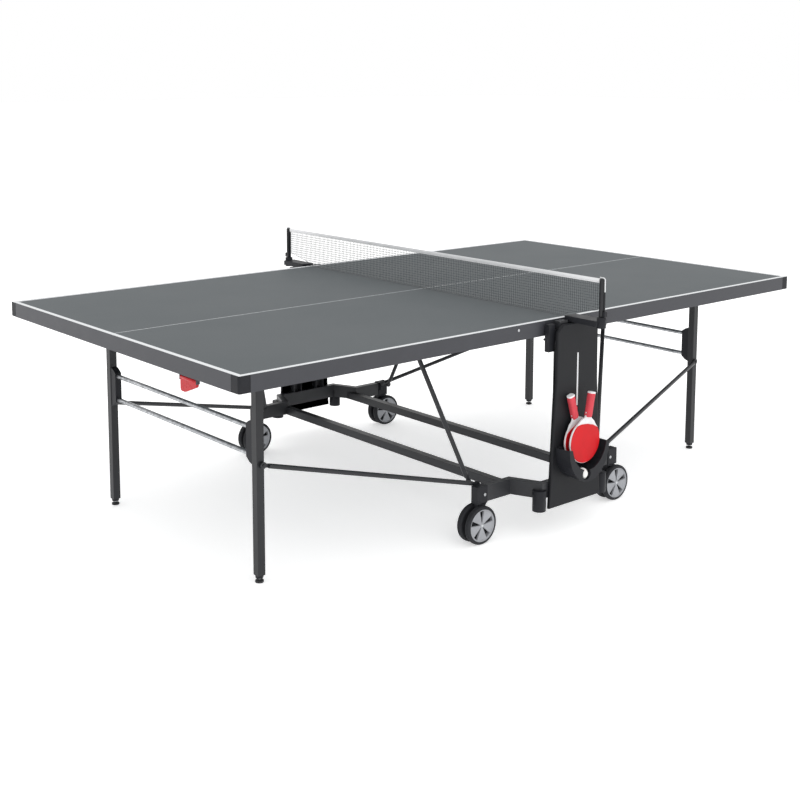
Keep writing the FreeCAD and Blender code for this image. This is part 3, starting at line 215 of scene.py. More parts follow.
graphite_coat = powder_coat("graphite powder coat", "#3A3B40", 0.42)
dress(graphite_coat, 0.0009, *both_halves("side_rails", "cross_rails", "stiffeners"))
corner_plastic = moulded("moulded polypropylene corner", "#222327", 0.0011, 0.5)
dress(corner_plastic, 0.0012, *both_halves("corner_caps"))


# ---------------------------------------------------------------- legs
# Square steel tube, powder coated anthracite. Two hot-dip galvanised bars tie each pair, in
# moulded sockets, and screw feet with plastic pads stand below.

leg_coat = powder_coat("anthracite powder coat", "#242528", 0.4)
dress(leg_coat, 0.0006, *both_halves("legs"))

galvanised, tree, where = new_finish("hot-dip galvanised steel")
# Zinc freezes in flat crystals, 5 to 15 mm across on thin tube, each with its own grey.
crystals = add(tree, "TexVoronoi", {"Vector": where.outputs["Object"], "Scale": 1 / 0.011})
crystal_tone = add(tree, "SeparateColor", {"Color": crystals.outputs["Color"]})
zinc = add(tree, "Mix", {0: crystal_tone.outputs[0], 6: linear("#97999C"), 7: linear("#C2C4C7")},
           data_type="RGBA")
dulled = add(tree, "MapRange", {"Value": crystal_tone.outputs[1], "To Min": 0.32, "To Max": 0.5})
drag = add(tree, "TexNoise", {"Vector": where.outputs["Object"], "Scale": 1 / 0.003, "Detail": 2.0})
ripple = add(tree, "Bump", {"Height": drag.outputs["Fac"], "Strength": 0.3, "Distance": 0.00008})
shader = add(tree, "BsdfPrincipled", {"Base Color": zinc.outputs[2], "Metallic": 1.0,
                                      "Roughness": dulled.outputs[0], "Normal": ripple.outputs["Normal"]})
add(tree, "OutputMaterial", {"Surface": shader.outputs["BSDF"]})
dress(galvanised, 0.0004, *both_halves("leg_crossbars"))

black_plastic = moulded("moulded black nylon", "#222327", 0.0010, 0.45)
dress(black_plastic, 0.0015, *both_halves("leg_fittings"))

foot_finish, tree, where = new_finish("rubber foot on a zinc-plated screw")
height = add(tree, "SeparateXYZ", {"Vector": where.outputs["Object"]})
pad_height = 0.0112
pad_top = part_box("foot_right_near")[0].z + pad_height
on_screw = add(tree, "Math", {0: height.outputs["Z"], 1: pad_top}, operation="GREATER_THAN")
scuff = add(tree, "TexNoise", {"Vector": where.outputs["Object"], "Scale": 1 / 0.002, "Detail": 3.0})
rubber = add(tree, "Mix", {0: scuff.outputs["Fac"], 6: linear("#1B1B1D"), 7: linear("#2B2B2E")},
             data_type="RGBA")
pad_or_screw = add(tree, "Mix", {0: on_screw.outputs[0], 6: rubber.outputs[2], 7: linear("#BFC1C4")},
                   data_type="RGBA")
worn = add(tree, "MapRange", {"Value": on_screw.outputs[0], "To Min": 0.65, "To Max": 0.35})
grip = add(tree, "Bump", {"Height": scuff.outputs["Fac"], "Strength": 0.4, "Distance": 0.0002})
shader = add(tree, "BsdfPrincipled", {"Base Color": pad_or_screw.outputs[2], "Metallic": on_screw.outputs[0],
                                      "Roughness": worn.outputs[0], "Normal": grip.outputs["Normal"]})
add(tree, "OutputMaterial", {"Surface": shader.outputs["BSDF"]})
dress(foot_finish, 0.0008, *four_corners("foot"))


# ---------------------------------------------------------------- trolley and struts
# Bent box tubes, cross tubes, guide channels and round struts, welded or bolted, all powder
# coated black. Moulded nylon boots, bumpers and sliders are pushed over them.

black_coat = powder_coat("black powder coat", "#2C2D30", 0.38)
dress(black_coat, 0.0012, "side_frames", "crossbeams", "uprights",
      *both_halves("support_struts", "leg_struts"))
dress(black_plastic, 0.0016, "caster_brackets", "corner_guards", "latch_housings", "net_brackets",
      *both_halves("carriage"))


# ---------------------------------------------------------------- side panels
# Vacuum-formed anthracite covers with a soft grain. A plain white and red stripe is printed
# down the middle of each.

panel_plastic = moulded("vacuum-formed anthracite cover", "#1B1C1F", 0.0014, 0.48)
tree = panel_plastic.node_tree
shader = next(node for node in tree.nodes if node.type == "BSDF_PRINCIPLED")
unprinted = shader.inputs["Base Color"].links[0].from_socket
stripe_half = 0.0035
white_end, stripe_gap, red_end = 0.452, 0.446, 0.425
stripe_top = 0.640
where = add(tree, "TexCoord", {})
axes = add(tree, "SeparateXYZ", {"Vector": where.outputs["Object"]})
off_middle = add(tree, "Math", {0: axes.outputs["X"]}, operation="ABSOLUTE")
off_centre = add(tree, "Math", {0: axes.outputs["Y"]}, operation="ABSOLUTE")
in_stripe = add(tree, "Math", {0: off_middle.outputs[0], 1: stripe_half}, operation="LESS_THAN")
on_face = add(tree, "Math", {0: off_centre.outputs[0], 1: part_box("side_panel_far")[1].y - 0.0005},
              operation="GREATER_THAN")
printable = add(tree, "Math", {0: in_stripe.outputs[0], 1: on_face.outputs[0]}, operation="MULTIPLY")
printed = unprinted
for bottom, top, ink in ((white_end, stripe_top, "#D9DADC"), (red_end, stripe_gap, "#C2242B")):
    above = add(tree, "Math", {0: axes.outputs["Z"], 1: bottom}, operation="GREATER_THAN")
    below = add(tree, "Math", {0: axes.outputs["Z"], 1: top}, operation="LESS_THAN")
    band = add(tree, "Math", {0: above.outputs[0], 1: below.outputs[0]}, operation="MULTIPLY")
    inked = add(tree, "Math", {0: band.outputs[0], 1: printable.outputs[0]}, operation="MULTIPLY")
    layer = add(tree, "Mix", {0: inked.outputs[0], 6: printed, 7: linear(ink)}, data_type="RGBA")
    printed = layer.outputs[2]
tree.links.new(printed, shader.inputs["Base Color"])
dress(panel_plastic, 0.0015, "side_panel_near", "side_panel_far")


# ---------------------------------------------------------------- casters
# Twin wheels on one axle. The tread is grey-black thermoplastic rubber over a nylon disc
# with five spokes, sprayed silver, and a zinc-plated cap nut closes the axle.

def settle(name, form, finish, body, slot, *stands_for):
    """Makes a piece of a finished form, with its finish, on its body, in place of CAD nodes."""
    bmesh.ops.remove_doubles(form, verts=form.verts, dist=0.000002)
    bmesh.ops.recalc_face_normals(form, faces=form.faces)
    mesh = bpy.data.meshes.new(name)
    form.to_mesh(mesh)
    form.free()
    mesh.shade_smooth()
    mesh.set_sharp_from_angle(angle=math.radians(35))
    mesh.materials.append(finish)
    piece = bpy.data.objects.new(name, mesh)
    bpy.context.scene.collection.objects.link(piece)
    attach(piece, body)
    if stands_for:
        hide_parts(*stands_for)
    return piece


def turn(form, profile, middle, outward=1, steps=72):
    """Turns a closed profile of (radius, distance) points about a line along Y."""
    rings = []
    for step in range(steps):
        angle = 2 * math.pi * step / steps
        rings.append([form.verts.new((middle.x + radius * math.cos(angle), middle.y + outward * out,
                                      middle.z + radius * math.sin(angle))) for radius, out in profile])
    for step in range(steps):
        here, there = rings[step - 1], rings[step]
        for at in range(len(profile)):
            form.faces.new((here[at - 1], here[at], there[at], there[at - 1]))


def slab(form, outline, middle, low, high):
    """A flat plate between two values of Y, round an outline of (x, z) points about a middle."""
    front = [form.verts.new((middle.x + x, low, middle.z + z)) for x, z in outline]
    back = [form.verts.new((middle.x + x, high, middle.z + z)) for x, z in outline]
    form.faces.new(front)
    form.faces.new(back)
    for at in range(len(outline)):
        form.faces.new((front[at - 1], front[at], back[at], back[at - 1]))


def polar(radius, degrees):
    """A point round a circle, from +X towards +Z."""
    return radius * math.cos(math.radians(degrees)), radius * math.sin(math.radians(degrees))


tread_rubber = moulded("thermoplastic rubber tread", "#2B2C2F", 0.0012, 0.6)
silver_disc = moulded("silver-sprayed nylon disc", "#9FA1A5", 0.0009, 0.35)

zinc_plate, tree, where = new_finish("zinc-plated steel")
# Bright zinc keeps the fine turning marks of the head, about 0.3 mm apart.
marks = add(tree, "TexNoise", {"Vector": where.outputs["Object"], "Scale": 1 / 0.0003, "Detail": 1.0})
plated = add(tree, "Mix", {0: marks.outputs["Fac"], 6: linear("#B9BBBE"), 7: linear("#DADCDD")},
             data_type="RGBA")
cut_marks = add(tree, "Bump", {"Height": marks.outputs["Fac"], "Strength": 0.3, "Distance": 0.00003})
shader = add(tree, "BsdfPrincipled", {"Base Color": plated.outputs[2], "Metallic": 1.0, "Roughness": 0.3,
                                      "Normal": cut_marks.outputs["Normal"]})
add(tree, "OutputMaterial", {"Surface": shader.outputs["BSDF"]})

wheel_width = 0.022
rim_radius = 0.057
ring_radius = 0.051
hub_radius = 0.010
spoke_in = 0.010   # the disc's back and face, from the wheel's inner side
spoke_out = 0.018
windows = 5

for side in ("right", "left"):
    for row in ("far", "near"):
        name = "caster_wheels_%s_%s" % (side, row)
        low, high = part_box(name)
        tall = (high.z - low.z) / 2
        tread, discs, nuts = bmesh.new(), bmesh.new(), bmesh.new()
        for outward in (1, -1):
            reach = (high.y - low.y) / 2 - wheel_width
            middle = Vector(((low.x + high.x) / 2, (low.y + high.y) / 2 + outward * reach, tall))
            turn(tread, [(rim_radius, 0), (tall - 0.005, 0), (tall - 0.001, 0.003), (tall, 0.007),
                         (tall - 0.0012, 0.0078), (tall - 0.0012, 0.0090), (tall, 0.0098),
                         (tall, 0.0122), (tall - 0.0012, 0.0130), (tall - 0.0012, 0.0142),
                         (tall, 0.0150), (tall - 0.0012, 0.0185), (tall - 0.005, 0.0215),
                         (rim_radius + 0.001, wheel_width), (rim_radius, wheel_width - 0.0006)],
                 middle, outward, 96)
            # A black inner web closes the wheel behind the disc's windows.
            turn(tread, [(hub_radius + 0.001, 0.0045), (rim_radius, 0.0010), (rim_radius, 0.0028),
                         (hub_radius + 0.001, 0.0065)], middle, outward)
            turn(discs, [(ring_radius, 0.004), (rim_radius, 0.003), (rim_radius, 0.0205),
                         (rim_radius - 0.0015, 0.0212), (ring_radius + 0.001, 0.0188),
                         (ring_radius, 0.0178)], middle, outward)
            turn(discs, [(0.0001, 0.002), (hub_radius, 0.002), (hub_radius, 0.0185),
                         (hub_radius - 0.002, 0.0195), (0.0001, 0.0195)], middle, outward, 40)
            for spoke in range(windows):
                angle = 90 + 360 / windows * (spoke + 0.5)
                outline = [polar(hub_radius * 0.8, angle - 28), polar(hub_radius * 0.8, angle + 28)]
                outline += [polar(ring_radius + 0.002, angle + 25 - 10 * step) for step in range(6)]
                slab(discs, outline, middle, middle.y + outward * spoke_in, middle.y + outward * spoke_out)
            turn(nuts, [(0.0001, 0.019), (0.0052, 0.019), (0.0052, 0.0203), (0.0042, 0.0214),
                        (0.0022, 0.0220), (0.0001, 0.0221)], middle, outward, 32)
        turn(nuts, [(0.0001, -reach), (0.005, -reach), (0.005, reach), (0.0001, reach)],
             Vector(((low.x + high.x) / 2, (low.y + high.y) / 2, tall)), 1, 32)
        settle(name + "_treads", tread, tread_rubber, name, "wheel_plastic", name)
        round_off(settle(name + "_discs", discs, silver_disc, name, "wheel_plastic", name), 0.0008)
        settle(name + "_nuts", nuts, zinc_plate, name, "bolt_steel", name)
dress(black_plastic, 0.0012, *four_corners("caster_fork"))


# ---------------------------------------------------------------- release levers and latches
# A glossy red ABS lever under each end pulls a sheathed steel cable, and the cable turns a
# zinc-plated pawl beside the hinge.

red_plastic, tree, where = new_finish("glossy red ABS")
flow = add(tree, "TexNoise", {"Vector": where.outputs["Object"], "Scale": 1 / 0.02, "Detail": 3.0})
red = add(tree, "Mix", {0: flow.outputs["Fac"], 6: linear("#A81019"), 7: linear("#C01B26")},
          data_type="RGBA")
handled = add(tree, "MapRange", {"Value": flow.outputs["Fac"], "To Min": 0.2, "To Max": 0.36})
shader = add(tree, "BsdfPrincipled", {"Base Color": red.outputs[2], "Roughness": handled.outputs[0],
                                      "IOR": 1.53, "Specular IOR Level": 0.25})
add(tree, "OutputMaterial", {"Surface": shader.outputs["BSDF"]})
dress(red_plastic, 0.0015, *both_halves("release_lever"))
dress(zinc_plate, 0.0004, *both_halves("latch_pawl"))

sheath = moulded("extruded cable sheath", "#1A1A1C", 0.0009, 0.4)
dress(sheath, 0.0003, *both_halves("release_cable"))


# ---------------------------------------------------------------- net
# A knotted net of nylon twine in 9.5 mm squares, thicker than real twine so that it looks as
# dark. A polyester tape is folded over its top and sewn. Cords, white and then dark-sleeved,
# pull it over two painted steel posts.

def twine(form, start, end, radius):
    """A straight length of twine with a square section."""
    run = (end - start).normalized()
    side = run.orthogonal().normalized() * radius
    other = run.cross(side)
    rings = [[form.verts.new(point + turned) for turned in (side, other, -side, -other)]
             for point in (start, end)]
    for at in range(4):
        form.faces.new((rings[0][at - 1], rings[0][at], rings[1][at], rings[1][at - 1]))
    form.faces.new(rings[0])
    form.faces.new(rings[1])


def knot(form, place, radius):
    """A small eight-sided knot."""
    tips = [form.verts.new(place + Vector(step) * radius)
            for step in ((1, 0, 0), (0, 1, 0), (-1, 0, 0), (0, -1, 0), (0, 0, 1), (0, 0, -1))]
    for at in range(4):
        form.faces.new((tips[at], tips[(at + 1) % 4], tips[4]))
        form.faces.new((tips[(at + 1) % 4], tips[at], tips[5]))


mesh_size = 0.0095
twine_radius = 0.0008
net_low, net_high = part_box("net_mesh")
lower_edge = sorted({(round(abs(vert.co.y), 5), round(vert.co.z, 5))
                     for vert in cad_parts["net_mesh"].data.vertices
                     if vert.co.z < net_high.z - 0.001})
knee_y, knee_z = [0.0] + [y for y, z in lower_edge], [net_low.z] + [z for y, z in lower_edge]
rows = round((net_high.z - net_low.z) / mesh_size)
columns = round((net_high.y - net_low.y) / mesh_size)
row_step = (net_high.z - net_low.z) / rows
column_step = (net_high.y - net_low.y) / columns
net_form = bmesh.new()
for column in range(columns + 1):
    y = net_low.y + column * column_step
    bottom = float(np.interp(abs(y), knee_y, knee_z))
    twine(net_form, Vector((0, y, bottom)), Vector((0, y, net_high.z + 0.003)), twine_radius)
for row in range(rows):
    z = net_high.z - row * row_step
    half = float(np.interp(z, knee_z, knee_y)) if z < knee_z[-1] else net_high.y
    twine(net_form, Vector((0, -half, z)), Vector((0, half, z)), twine_radius)
    for column in range(columns + 1):
        y = net_low.y + column * column_step
        if abs(y) < half:
            knot(net_form, Vector((0, y, z)), 1.7 * twine_radius)
for mirrored in (1, -1):
    for at in range(len(knee_y) - 1):
        twine(net_form, Vector((0, mirrored * knee_y[at], knee_z[at])),
              Vector((0, mirrored * knee_y[at + 1], knee_z[at + 1])), twine_radius)
    twine(net_form, Vector((0, mirrored * net_high.y, knee_z[-1])),
          Vector((0, mirrored * net_high.y, net_high.z)), twine_radius)

nylon_twine, tree, where = new_finish("twisted nylon twine")
# Two yarns twist once every 2 mm, which gives the twine a rope-like look: its colour is painted darker in
# the grooves between the yarns, as painted shade, and a bump raises the same ridges.
ply = add(tree, "TexWave", {"Vector": where.outputs["Object"], "Scale": 0.5 / 0.002, "Distortion": 1.5},
          bands_direction="DIAGONAL")
twine_with_painted_groove_shade = add(tree, "Mix", {0: ply.outputs["Fac"], 6: linear("#2C3032"), 7: linear("#4B5053")},
           data_type="RGBA")
twist = add(tree, "Bump", {"Height": ply.outputs["Fac"], "Strength": 0.5, "Distance": 0.0002})
shader = add(tree, "BsdfPrincipled", {"Base Color": twine_with_painted_groove_shade.outputs[2], "Roughness": 0.7,
                                      "Normal": twist.outputs["Normal"]})
add(tree, "OutputMaterial", {"Surface": shader.outputs["BSDF"]})
net = settle("net_twine", net_form, nylon_twine, "trolley", "net_mesh", "net_mesh")

tape_low, tape_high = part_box("net_tape")
tape_wall = 0.0006
fold = (tape_high.x - tape_low.x) / 2 - tape_wall / 2
tape_tall = tape_high.z - tape_low.z
folded = [(-0.0010, 0.0), (-0.0011, 0.003), (-fold, 0.006), (-fold, tape_tall - fold - tape_wall)]
folded += [(-fold * math.cos(math.radians(angle)),
            tape_tall - fold - tape_wall / 2 + fold * math.sin(math.radians(angle)))
           for angle in (20, 45, 70, 90)]
folded += [(-x, z) for x, z in reversed(folded[:-1])]
steps = 160
tape_form = bmesh.new()
outer_rows, inner_rows = [], []
for step in range(steps + 1):
    y = tape_low.y + (tape_high.y - tape_low.y) * step / steps
    pucker = 0.00012 * math.sin(y * 210) + 0.0001 * math.sin(y * 97 + 1.3)
    outer, inner = [], []
    for at, (x, z) in enumerate(folded):
        before, after = folded[max(at - 1, 0)], folded[min(at + 1, len(folded) - 1)]
        lead = Vector((after[0] - before[0], after[1] - before[1])).normalized()
        off = Vector((-lead.y, lead.x)) * tape_wall / 2
        slack = pucker * (1 - z / tape_tall)
        outer.append(tape_form.verts.new((x + off.x + slack, y, tape_low.z + z + off.y)))
        inner.append(tape_form.verts.new((x - off.x + slack, y, tape_low.z + z - off.y)))
    outer_rows.append(outer)
    inner_rows.append(inner)
for step in range(steps):
    for at in range(len(folded) - 1):
        for rows_of in (outer_rows, inner_rows):
            here, there = rows_of[step], rows_of[step + 1]
            tape_form.faces.new((here[at], here[at + 1], there[at + 1], there[at]))
    for at in (0, -1):
        tape_form.faces.new((outer_rows[step][at], inner_rows[step][at],
                             inner_rows[step + 1][at], outer_rows[step + 1][at]))
for step in (0, steps):
    for at in range(len(folded) - 1):
        tape_form.faces.new((outer_rows[step][at], inner_rows[step][at],
                             inner_rows[step][at + 1], outer_rows[step][at + 1]))

woven_tape, tree, where = new_finish("woven polyester tape")
axes = add(tree, "SeparateXYZ", {"Vector": where.outputs["Object"]})
# One row of stitches, each with a 1 mm gap after it, runs a little above the tape's edge.
thread_gap = 0.0008
seam_height = 0.004
seam_half = 0.0005
stitch_length = 0.003
stitch_pace = 0.004
weft = add(tree, "TexWave", {"Vector": where.outputs["Object"], "Scale": 0.31 / thread_gap},
           bands_direction="Y")
warp = add(tree, "TexWave", {"Vector": where.outputs["Object"], "Scale": 0.31 / thread_gap},
           bands_direction="Z")
weave = add(tree, "Math", {0: weft.outputs["Fac"], 1: warp.outputs["Fac"]}, operation="MULTIPLY")
above = add(tree, "Math", {0: axes.outputs["Z"], 1: tape_low.z + seam_height}, operation="SUBTRACT")
away = add(tree, "Math", {0: above.outputs[0]}, operation="ABSOLUTE")
seam = add(tree, "Math", {0: away.outputs[0], 1: seam_half}, operation="LESS_THAN")
pace = add(tree, "Math", {0: axes.outputs["Y"], 1: stitch_pace}, operation="FLOORED_MODULO")
stitch = add(tree, "Math", {0: pace.outputs[0], 1: stitch_length}, operation="LESS_THAN")
thread = add(tree, "Math", {0: seam.outputs[0], 1: stitch.outputs[0]}, operation="MULTIPLY")
soil = add(tree, "TexNoise", {"Vector": where.outputs["Object"], "Scale": 1 / 0.05, "Detail": 3.0})
white = add(tree, "Mix", {0: soil.outputs["Fac"], 6: linear("#DCDDDE"), 7: linear("#F2F2F3")},
            data_type="RGBA")
sewn = add(tree, "Mix", {0: thread.outputs[0], 6: white.outputs[2], 7: linear("#B4B6B8")},
           data_type="RGBA")
raised = add(tree, "Math", {0: weave.outputs[0], 1: thread.outputs[0]}, operation="ADD")
cloth = add(tree, "Bump", {"Height": raised.outputs[0], "Strength": 0.6, "Distance": 0.00015})
shader = add(tree, "BsdfPrincipled", {"Base Color": sewn.outputs[2], "Roughness": 0.85,
                                      "Normal": cloth.outputs["Normal"], "Sheen Weight": 0.2})
add(tree, "OutputMaterial", {"Surface": shader.outputs["BSDF"]})
tape = settle("net_top_tape", tape_form, woven_tape, "trolley", "net_tape", "net_tape")

braid, tree, where = new_finish("braided polyester cord")
# Strands cross at 45 degrees, about 1 mm wide. Their colour is painted darker in the grooves between them,
# as painted shade, along the same ridges that the bump raises.
strand = add(tree, "TexWave", {"Vector": where.outputs["Object"], "Scale": 0.31 / 0.001, "Distortion": 0.5},
             bands_direction="DIAGONAL")
braid_with_painted_groove_shade = add(tree, "Mix", {0: strand.outputs["Fac"], 6: linear("#C9CACC"), 7: linear("#F1F1F2")},
            data_type="RGBA")
# Below the bare top of the braid a dark sleeve covers it, down to the adjuster.
bare_length = 0.050
axes = add(tree, "SeparateXYZ", {"Vector": where.outputs["Object"]})
bare = add(tree, "Math", {0: axes.outputs["Z"], 1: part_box("net_cords")[1].z - bare_length},
           operation="GREATER_THAN")
sleeved = add(tree, "Mix", {0: bare.outputs[0], 6: linear("#2A2B2E"), 7: braid_with_painted_groove_shade.outputs[2]},
              data_type="RGBA")
ridges = add(tree, "Bump", {"Height": strand.outputs["Fac"], "Strength": 0.6, "Distance": 0.0003})
shader = add(tree, "BsdfPrincipled", {"Base Color": sleeved.outputs[2], "Roughness": 0.8,
                                      "Normal": ridges.outputs["Normal"]})
add(tree, "OutputMaterial", {"Surface": shader.outputs["BSDF"]})
dress(braid, 0.0003, "net_cords")
post_paint = powder_coat("black stove enamel", "#1E1F22", 0.3)
dress(post_paint, 0.0006, "net_posts")
dress(black_plastic, 0.0012, "net_adjusters")


# ---------------------------------------------------------------- bat holders, bats and ball
# Each holder is a moulded nylon cradle. A bat is a white composite blade and neck with a red
# rubber sheet on each face and a soft red grip with a white end. The ball is celluloid.

def loft(form, rings):
    """Joins rings of points into one closed skin."""
    skins = [[form.verts.new(point) for point in ring] for ring in rings]
    count = len(skins[0])
    for here, there in zip(skins, skins[1:]):
        for at in range(count):
            form.faces.new((here[at - 1], here[at], there[at], there[at - 1]))
    form.faces.new(skins[0])
    form.faces.new(skins[-1])


def grip_ring(wide, thick, up, points=28):
    """A rounded oblong across the handle at a height above the blade's middle."""
    ring = []
    for at in range(points):
        angle = 2 * math.pi * at / points
        across, out = math.cos(angle), math.sin(angle)
        ring.append(Vector((wide * math.copysign(abs(across) ** 0.62, across),
                            thick * math.copysign(abs(out) ** 0.62, out), up)))
    return ring


white_composite = moulded("white composite blade", "#E4E4E6", 0.0012, 0.4)
grip_plastic = moulded("soft red grip", "#CB4650", 0.0012, 0.55)

red_rubber, tree, where = new_finish("red table tennis rubber")
# The top sheet is smooth, but the pimples under it, 2 mm apart, just show in its sheen.
pimples = add(tree, "TexVoronoi", {"Vector": where.outputs["Object"], "Scale": 1 / 0.002})
chalk = add(tree, "TexNoise", {"Vector": where.outputs["Object"], "Scale": 1 / 0.03, "Detail": 4.0})
sheet_red = add(tree, "Mix", {0: chalk.outputs["Fac"], 6: linear("#BE0A14"), 7: linear("#D2161F")},
                data_type="RGBA")
dust = add(tree, "MapRange", {"Value": chalk.outputs["Fac"], "To Min": 0.38, "To Max": 0.58})
pressed = add(tree, "Bump", {"Height": pimples.outputs["Distance"], "Strength": 0.25, "Distance": 0.0001})
shader = add(tree, "BsdfPrincipled", {"Base Color": sheet_red.outputs[2], "Roughness": dust.outputs[0],
                                      "Normal": pressed.outputs["Normal"], "IOR": 1.52,
                                      "Specular IOR Level": 0.2})
add(tree, "OutputMaterial", {"Surface": shader.outputs["BSDF"]})

blade_radius = 0.077
solid_radius = 0.075
core_half = 0.0033
origin = Vector()
rubber_thick = 0.0020
for name, lean in (("bat_front", 11.0), ("bat_back", -16.5)):
    low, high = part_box(name)
    at_x = low.x + solid_radius if lean > 0 else high.x - solid_radius
    place = Matrix.Translation((at_x, (low.y + high.y) / 2, low.z + solid_radius))
    place = place @ Matrix.Rotation(math.radians(lean), 4, "Y")
    blade = bmesh.new()
    outline = [polar(blade_radius - 0.0005, angle) for angle in range(125, 416, 5)]
    outline += [(0.034, 0.074), (0.020, 0.082), (0.0135, 0.090), (0.0135, 0.104),
                (-0.0135, 0.104), (-0.0135, 0.090), (-0.020, 0.082), (-0.034, 0.074)]
    slab(blade, outline, origin, -core_half, core_half)
    sheets = bmesh.new()
    rubber_line = [polar(blade_radius - 0.0025, angle) for angle in range(135, 406, 5)]
    rubber_line += [(0.030, 0.0600), (0.0, 0.0625), (-0.030, 0.0600)]
    for face in (1, -1):
        slab(sheets, rubber_line, origin, face * core_half, face * (core_half + rubber_thick))
    grip, end = bmesh.new(), bmesh.new()
    loft(grip, [grip_ring(0.0125, 0.0085, 0.0865), grip_ring(0.0137, 0.0108, 0.0925),
                grip_ring(0.0130, 0.0112, 0.120), grip_ring(0.0130, 0.0112, 0.140),
                grip_ring(0.0139, 0.0114, 0.1700)])
    loft(end, [grip_ring(0.0139, 0.0114, 0.1700), grip_ring(0.0139, 0.0114, 0.1745),
               grip_ring(0.0128, 0.0104, 0.1758), grip_ring(0.0060, 0.0050, 0.1760)])
    for form in (blade, sheets, grip, end):
        bmesh.ops.transform(form, matrix=place, verts=form.verts)
    round_off(settle(name + "_blade", blade, white_composite, name, "bat", name), 0.0015, 3)
    round_off(settle(name + "_rubbers", sheets, red_rubber, name, "bat", name), 0.0006)
    settle(name + "_grip", grip, grip_plastic, name, "bat", name)
    settle(name + "_end", end, white_composite, name, "bat", name)

dress(black_plastic, 0.0015, "bat_holder_near", "bat_holder_far")

ball_low, ball_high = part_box("ball")
ball_radius = (ball_high.z - ball_low.z) / 2
ball_form = bmesh.new()
shell = []
for angle in range(-90, 91, 5):
    seam = 0.00012 if angle == 0 else 0.0
    shell.append(((ball_radius - seam) * max(math.cos(math.radians(angle)), 0.0005),
                  ball_radius * math.sin(math.radians(angle))))
turn(ball_form, shell, (ball_low + ball_high) / 2, 1, 64)
celluloid, tree, where = new_finish("matt white celluloid")
powder = add(tree, "TexNoise", {"Vector": where.outputs["Object"], "Scale": 1 / 0.0015, "Detail": 2.0})
chalky = add(tree, "Mix", {0: powder.outputs["Fac"], 6: linear("#E9E9E6"), 7: linear("#F8F8F6")},
             data_type="RGBA")
haze = add(tree, "Bump", {"Height": powder.outputs["Fac"], "Strength": 0.2, "Distance": 0.00005})
shader = add(tree, "BsdfPrincipled", {"Base Color": chalky.outputs[2], "Roughness": 0.45, "IOR": 1.5,
                                      "Normal": haze.outputs["Normal"]})
add(tree, "OutputMaterial", {"Surface": shader.outputs["BSDF"]})
settle("ball_shell", ball_form, celluloid, "ball", "ball", "ball")


# ---------------------------------------------------------------- fasteners
# Button-head screws with hexagon sockets, zinc plated, hold the boots. A rivet head on the
# rail at each half's latch side is a guess at what holds the release cable's end.

def islands(name):
    """The boxes of the separate solids of a CAD node, as lowest and highest corners."""
    form = bmesh.new()
    form.from_mesh(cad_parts[name].data)
    bmesh.ops.remove_doubles(form, verts=form.verts, dist=0.00001)
    left, found = set(form.verts), []
    while left:
        todo, mine = [left.pop()], []
        while todo:
            vert = todo.pop()
            mine.append(vert.co.copy())
            for link in vert.link_edges:
                other = link.other_vert(vert)
                if other in left:
                    left.remove(other)
                    todo.append(other)
        found.append((Vector(map(min, zip(*mine))), Vector(map(max, zip(*mine)))))
    form.free()
    return sorted(found, key=lambda pair: tuple(pair[0]))


def button_head(form, middle, outward, radius, tall):
    """A domed screw head with a six-sided socket, seated on a thin washer."""
    turn(form, [(0.0001, 0.0), (radius, 0.0), (radius, 0.0006), (radius * 0.86, 0.0007),
                (radius * 0.84, tall * 0.35), (radius * 0.7, tall * 0.75), (radius * 0.48, tall),
                (radius * 0.40, tall), (radius * 0.38, tall * 0.35), (0.0001, tall * 0.3)],
         middle, outward, 6 * 6)


screws = bmesh.new()
for low, high in islands("trolley_fasteners"):
    outward = 1 if low.y > 0 else -1
    inner = low.y if outward > 0 else high.y
    button_head(screws, Vector(((low.x + high.x) / 2, inner, (low.z + high.z) / 2)), outward,
                (high.z - low.z) / 2, high.y - low.y)
settle("trolley_screws", screws, zinc_plate, "trolley", "bolt_steel", "trolley_fasteners")

rivet_from_middle = 0.248
rivet_below_top = 0.0165
rivet_radius = 0.0048
rivet_tall = 0.0022
rail_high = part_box("right_side_rails")[1]
for side, sign in (("right", 1), ("left", -1)):
    rivet = bmesh.new()
    seat = Vector((sign * rivet_from_middle, sign * rail_high.y, rail_high.z - rivet_below_top))
    button_head(rivet, seat, sign, rivet_radius, rivet_tall)
    settle(side + "_rail_rivet", rivet, zinc_plate, side + "_half", "bolt_steel")


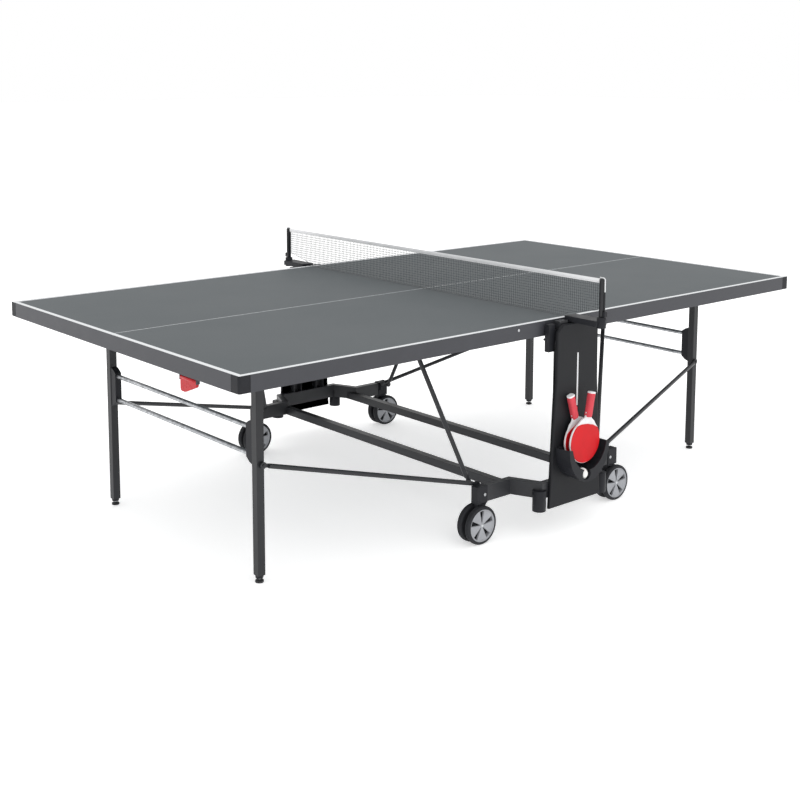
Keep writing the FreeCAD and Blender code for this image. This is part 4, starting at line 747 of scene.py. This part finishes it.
# ---------------------------------------------------------------- studio
# A plain pale floor, a soft white room and three large lamps.

floor_form = bmesh.new()
bmesh.ops.create_grid(floor_form, x_segments=1, y_segments=1, size=60)
floor_mesh = bpy.data.meshes.new("floor")
floor_form.to_mesh(floor_mesh)
floor_form.free()
floor_paint, tree, where = new_finish("white studio floor")
# The glow stands for the light that a white studio floor gets from a far larger room.
shader = add(tree, "BsdfPrincipled", {"Base Color": linear("#F4F4F4"), "Roughness": 0.9,
                                      "Emission Color": linear("#FFFFFF"), "Emission Strength": 0.5})
add(tree, "OutputMaterial", {"Surface": shader.outputs["BSDF"]})
floor_mesh.materials.append(floor_paint)
floor = bpy.data.objects.new("floor", floor_mesh)
floor.location.z = cad_low.z - 0.0002
bpy.context.scene.collection.objects.link(floor)
floor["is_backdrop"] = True

room = bpy.data.worlds.new("room")
room.use_nodes = True
room.node_tree.nodes["Background"].inputs["Color"].default_value = (1.0, 1.0, 1.0, 1.0)
room.node_tree.nodes["Background"].inputs["Strength"].default_value = 1.0
bpy.context.scene.world = room

lamps = (("key", (-1.8, -5.2, 4.5), 3.0, 34),
         ("fill", (4.5, -3.0, 3.5), 3.0, 12),
         ("top", (0.0, 0.5, 5.5), 4.0, 14))
for name, place, size, power in lamps:
    lamp = bpy.data.lights.new(name, "AREA")
    lamp.size = size
    lamp.energy = power
    holder = bpy.data.objects.new(name, lamp)
    holder.location = place
    aim = Vector((0, 0, 0.5)) - Vector(place)
    holder.rotation_euler = aim.to_track_quat("-Z", "Y").to_euler()
    bpy.context.scene.collection.objects.link(holder)

lens = bpy.data.cameras.new("camera")
lens.sensor_width = 36.0
lens.lens = 56.58
lens.shift_y = -0.2
lens.clip_end = 200.0
camera = bpy.data.objects.new("camera", lens)
camera.location = (-3.2618, -3.6638, 1.6033)
camera.rotation_euler = (math.pi / 2 - 0.132, -0.002, -0.708)
bpy.context.scene.collection.objects.link(camera)
bpy.context.scene.camera = camera
bpy.context.scene.view_settings.view_transform = "Standard"

low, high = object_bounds()
